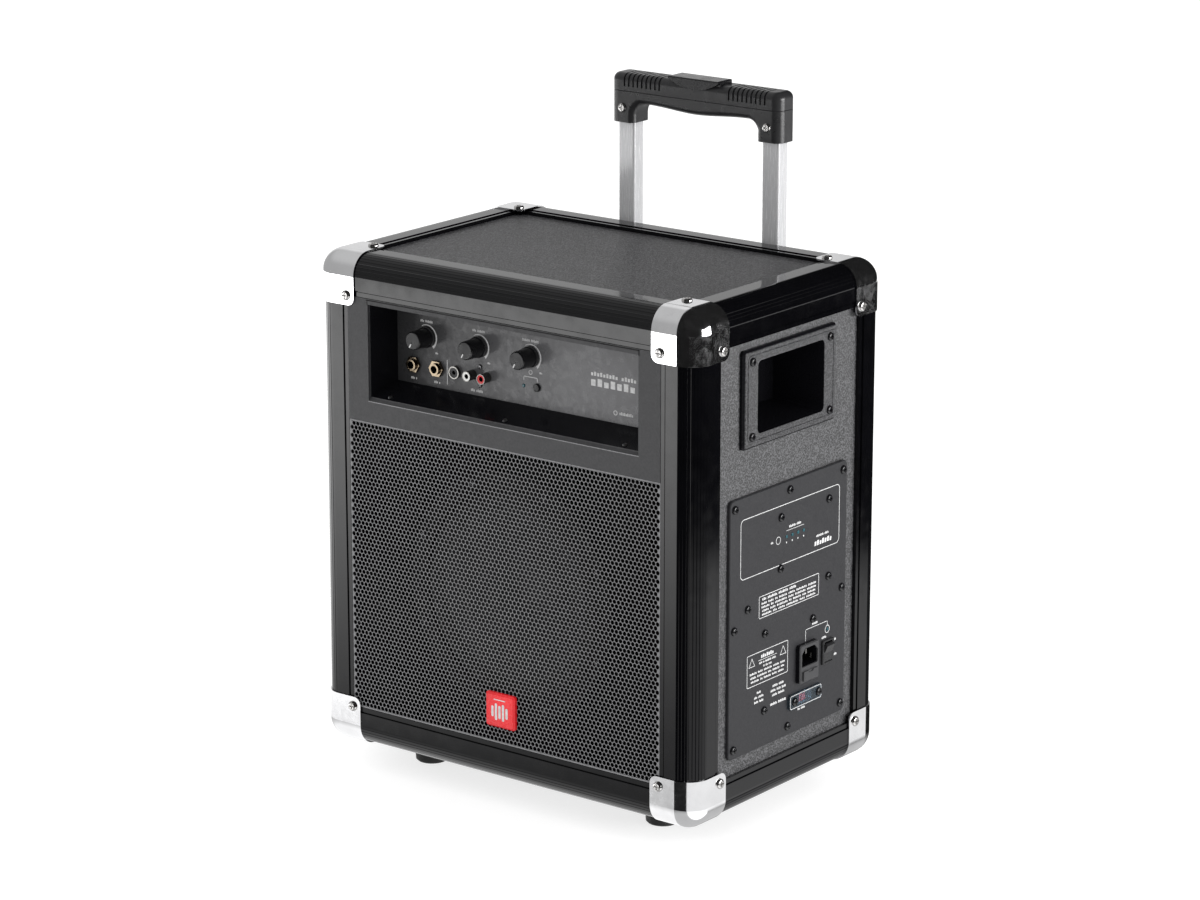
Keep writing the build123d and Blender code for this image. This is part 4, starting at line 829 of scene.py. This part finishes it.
class Sky:
    """Small maths helpers on the direction that the world is seen in."""

    def __init__(self, tree):
        self.nodes = tree.nodes
        self.links = tree.links
        coords = self.nodes.new("ShaderNodeTexCoord")
        split = self.nodes.new("ShaderNodeSeparateXYZ")
        self.links.new(coords.outputs["Generated"], split.inputs["Vector"])
        self.x, self.y, self.z = split.outputs

    def ramp(self, value, zero_at, one_at):
        node = self.nodes.new("ShaderNodeMapRange")
        node.interpolation_type = "SMOOTHSTEP"
        node.inputs["From Min"].default_value = zero_at
        node.inputs["From Max"].default_value = one_at
        self.links.new(value, node.inputs["Value"])
        return node.outputs["Result"]

    def math(self, operation, *values):
        node = self.nodes.new("ShaderNodeMath")
        node.operation = operation
        for socket, value in zip(node.inputs, values):
            if isinstance(value, float):
                socket.default_value = value
            else:
                self.links.new(value, socket)
        return node.outputs["Value"]

    def total(self, *values):
        result = values[0]
        for value in values[1:]:
            result = self.math("ADD", result, value)
        return result


def make_sky():
    """Even light for diffuse surfaces; glossy ones see soft bands of glow instead."""
    world = bpy.data.worlds.new("studio")
    bpy.context.scene.world = world
    world.use_nodes = True
    tree = world.node_tree
    sky = Sky(tree)
    wall = sky.ramp(sky.x, -0.50, -0.56)
    low = sky.ramp(sky.z, -0.205, -0.221)
    rear = sky.math("MULTIPLY", sky.ramp(sky.y, 0.35, 0.60), sky.ramp(sky.z, -0.15, -0.05))
    high = sky.ramp(sky.z, 0.35, 0.75)
    fade = sky.math("MULTIPLY", sky.ramp(sky.z, -0.235, -0.350), FLOOR_GLOW - FAR_GLOW)
    left = sky.total(
        sky.math("MULTIPLY", low, sky.math("SUBTRACT", FLOOR_GLOW, fade)),
        sky.math("MULTIPLY", rear, REAR_GLOW),
        sky.math("MULTIPLY", high, HIGH_GLOW),
        sky.math("MULTIPLY", sky.ramp(sky.z, -0.221, -0.205), WALL_GLOW),
    )
    strip = sky.math("MULTIPLY", sky.ramp(sky.z, -0.212, -0.198), sky.ramp(sky.z, -0.165, -0.180))
    strip = sky.math("MULTIPLY", strip, sky.ramp(sky.y, 0.35, 0.60))
    under = sky.math("MULTIPLY", sky.ramp(sky.z, -0.34, -0.60), UNDER_GLOW)
    right = sky.math("MULTIPLY", sky.ramp(sky.x, 0.40, 0.48), sky.ramp(sky.z, -0.285, -0.298))
    right = sky.math("MULTIPLY", right, RIGHT_GLOW)
    glow = sky.total(sky.math("MULTIPLY", wall, left), sky.math("MULTIPLY", strip, STRIP_GLOW), under, right)
    glow = sky.math("ADD", glow, ROOM_GLOW)
    path = tree.nodes.new("ShaderNodeLightPath")
    seen = tree.nodes.new("ShaderNodeMix")
    seen.data_type = "FLOAT"
    tree.links.new(path.outputs["Is Glossy Ray"], seen.inputs["Factor"])
    seen.inputs["A"].default_value = SKY_LIGHT
    tree.links.new(glow, seen.inputs["B"])
    background = tree.nodes["Background"]
    background.inputs["Color"].default_value = (1.0, 1.0, 1.0, 1)
    tree.links.new(seen.outputs["Result"], background.inputs["Strength"])


def soft_box(name, at, aim, wide, tall, power):
    data = bpy.data.lights.new(name, "AREA")
    data.shape = "RECTANGLE"
    data.size, data.size_y = wide, tall
    data.energy = power
    lamp = bpy.data.objects.new(name, data)
    lamp.location = at
    lamp.rotation_mode = "QUATERNION"
    lamp.rotation_quaternion = (Vector(aim) - Vector(at)).to_track_quat("-Z", "Y")
    bpy.context.scene.collection.objects.link(lamp)


AZIMUTH = math.radians(37.68)
ELEVATION = math.radians(15.39)
DISTANCE = 3.345
SIDE_STEP = 0.0011
UP_STEP = 0.0430
LENS = 120.5


def make_camera():
    data = bpy.data.cameras.new("camera")
    data.lens = LENS
    data.sensor_width = 36.0
    camera = bpy.data.objects.new("camera", data)
    flat = math.cos(ELEVATION)
    back = Vector((math.sin(AZIMUTH) * flat, -math.cos(AZIMUTH) * flat, math.sin(ELEVATION)))
    right = Vector((math.cos(AZIMUTH), math.sin(AZIMUTH), 0))
    up = back.cross(right)
    camera.location = CASE_MID + back * DISTANCE + right * SIDE_STEP + up * UP_STEP
    camera.rotation_mode = "QUATERNION"
    camera.rotation_quaternion = (-back).to_track_quat("-Z", "Y")
    bpy.context.scene.collection.objects.link(camera)
    bpy.context.scene.camera = camera


make_floor()
make_sky()
soft_box("fill_right", FILL_AT, CASE_MID, FILL_WIDE, FILL_TALL, FILL_POWER)
make_camera()
bpy.context.scene.view_settings.view_transform = "Standard"
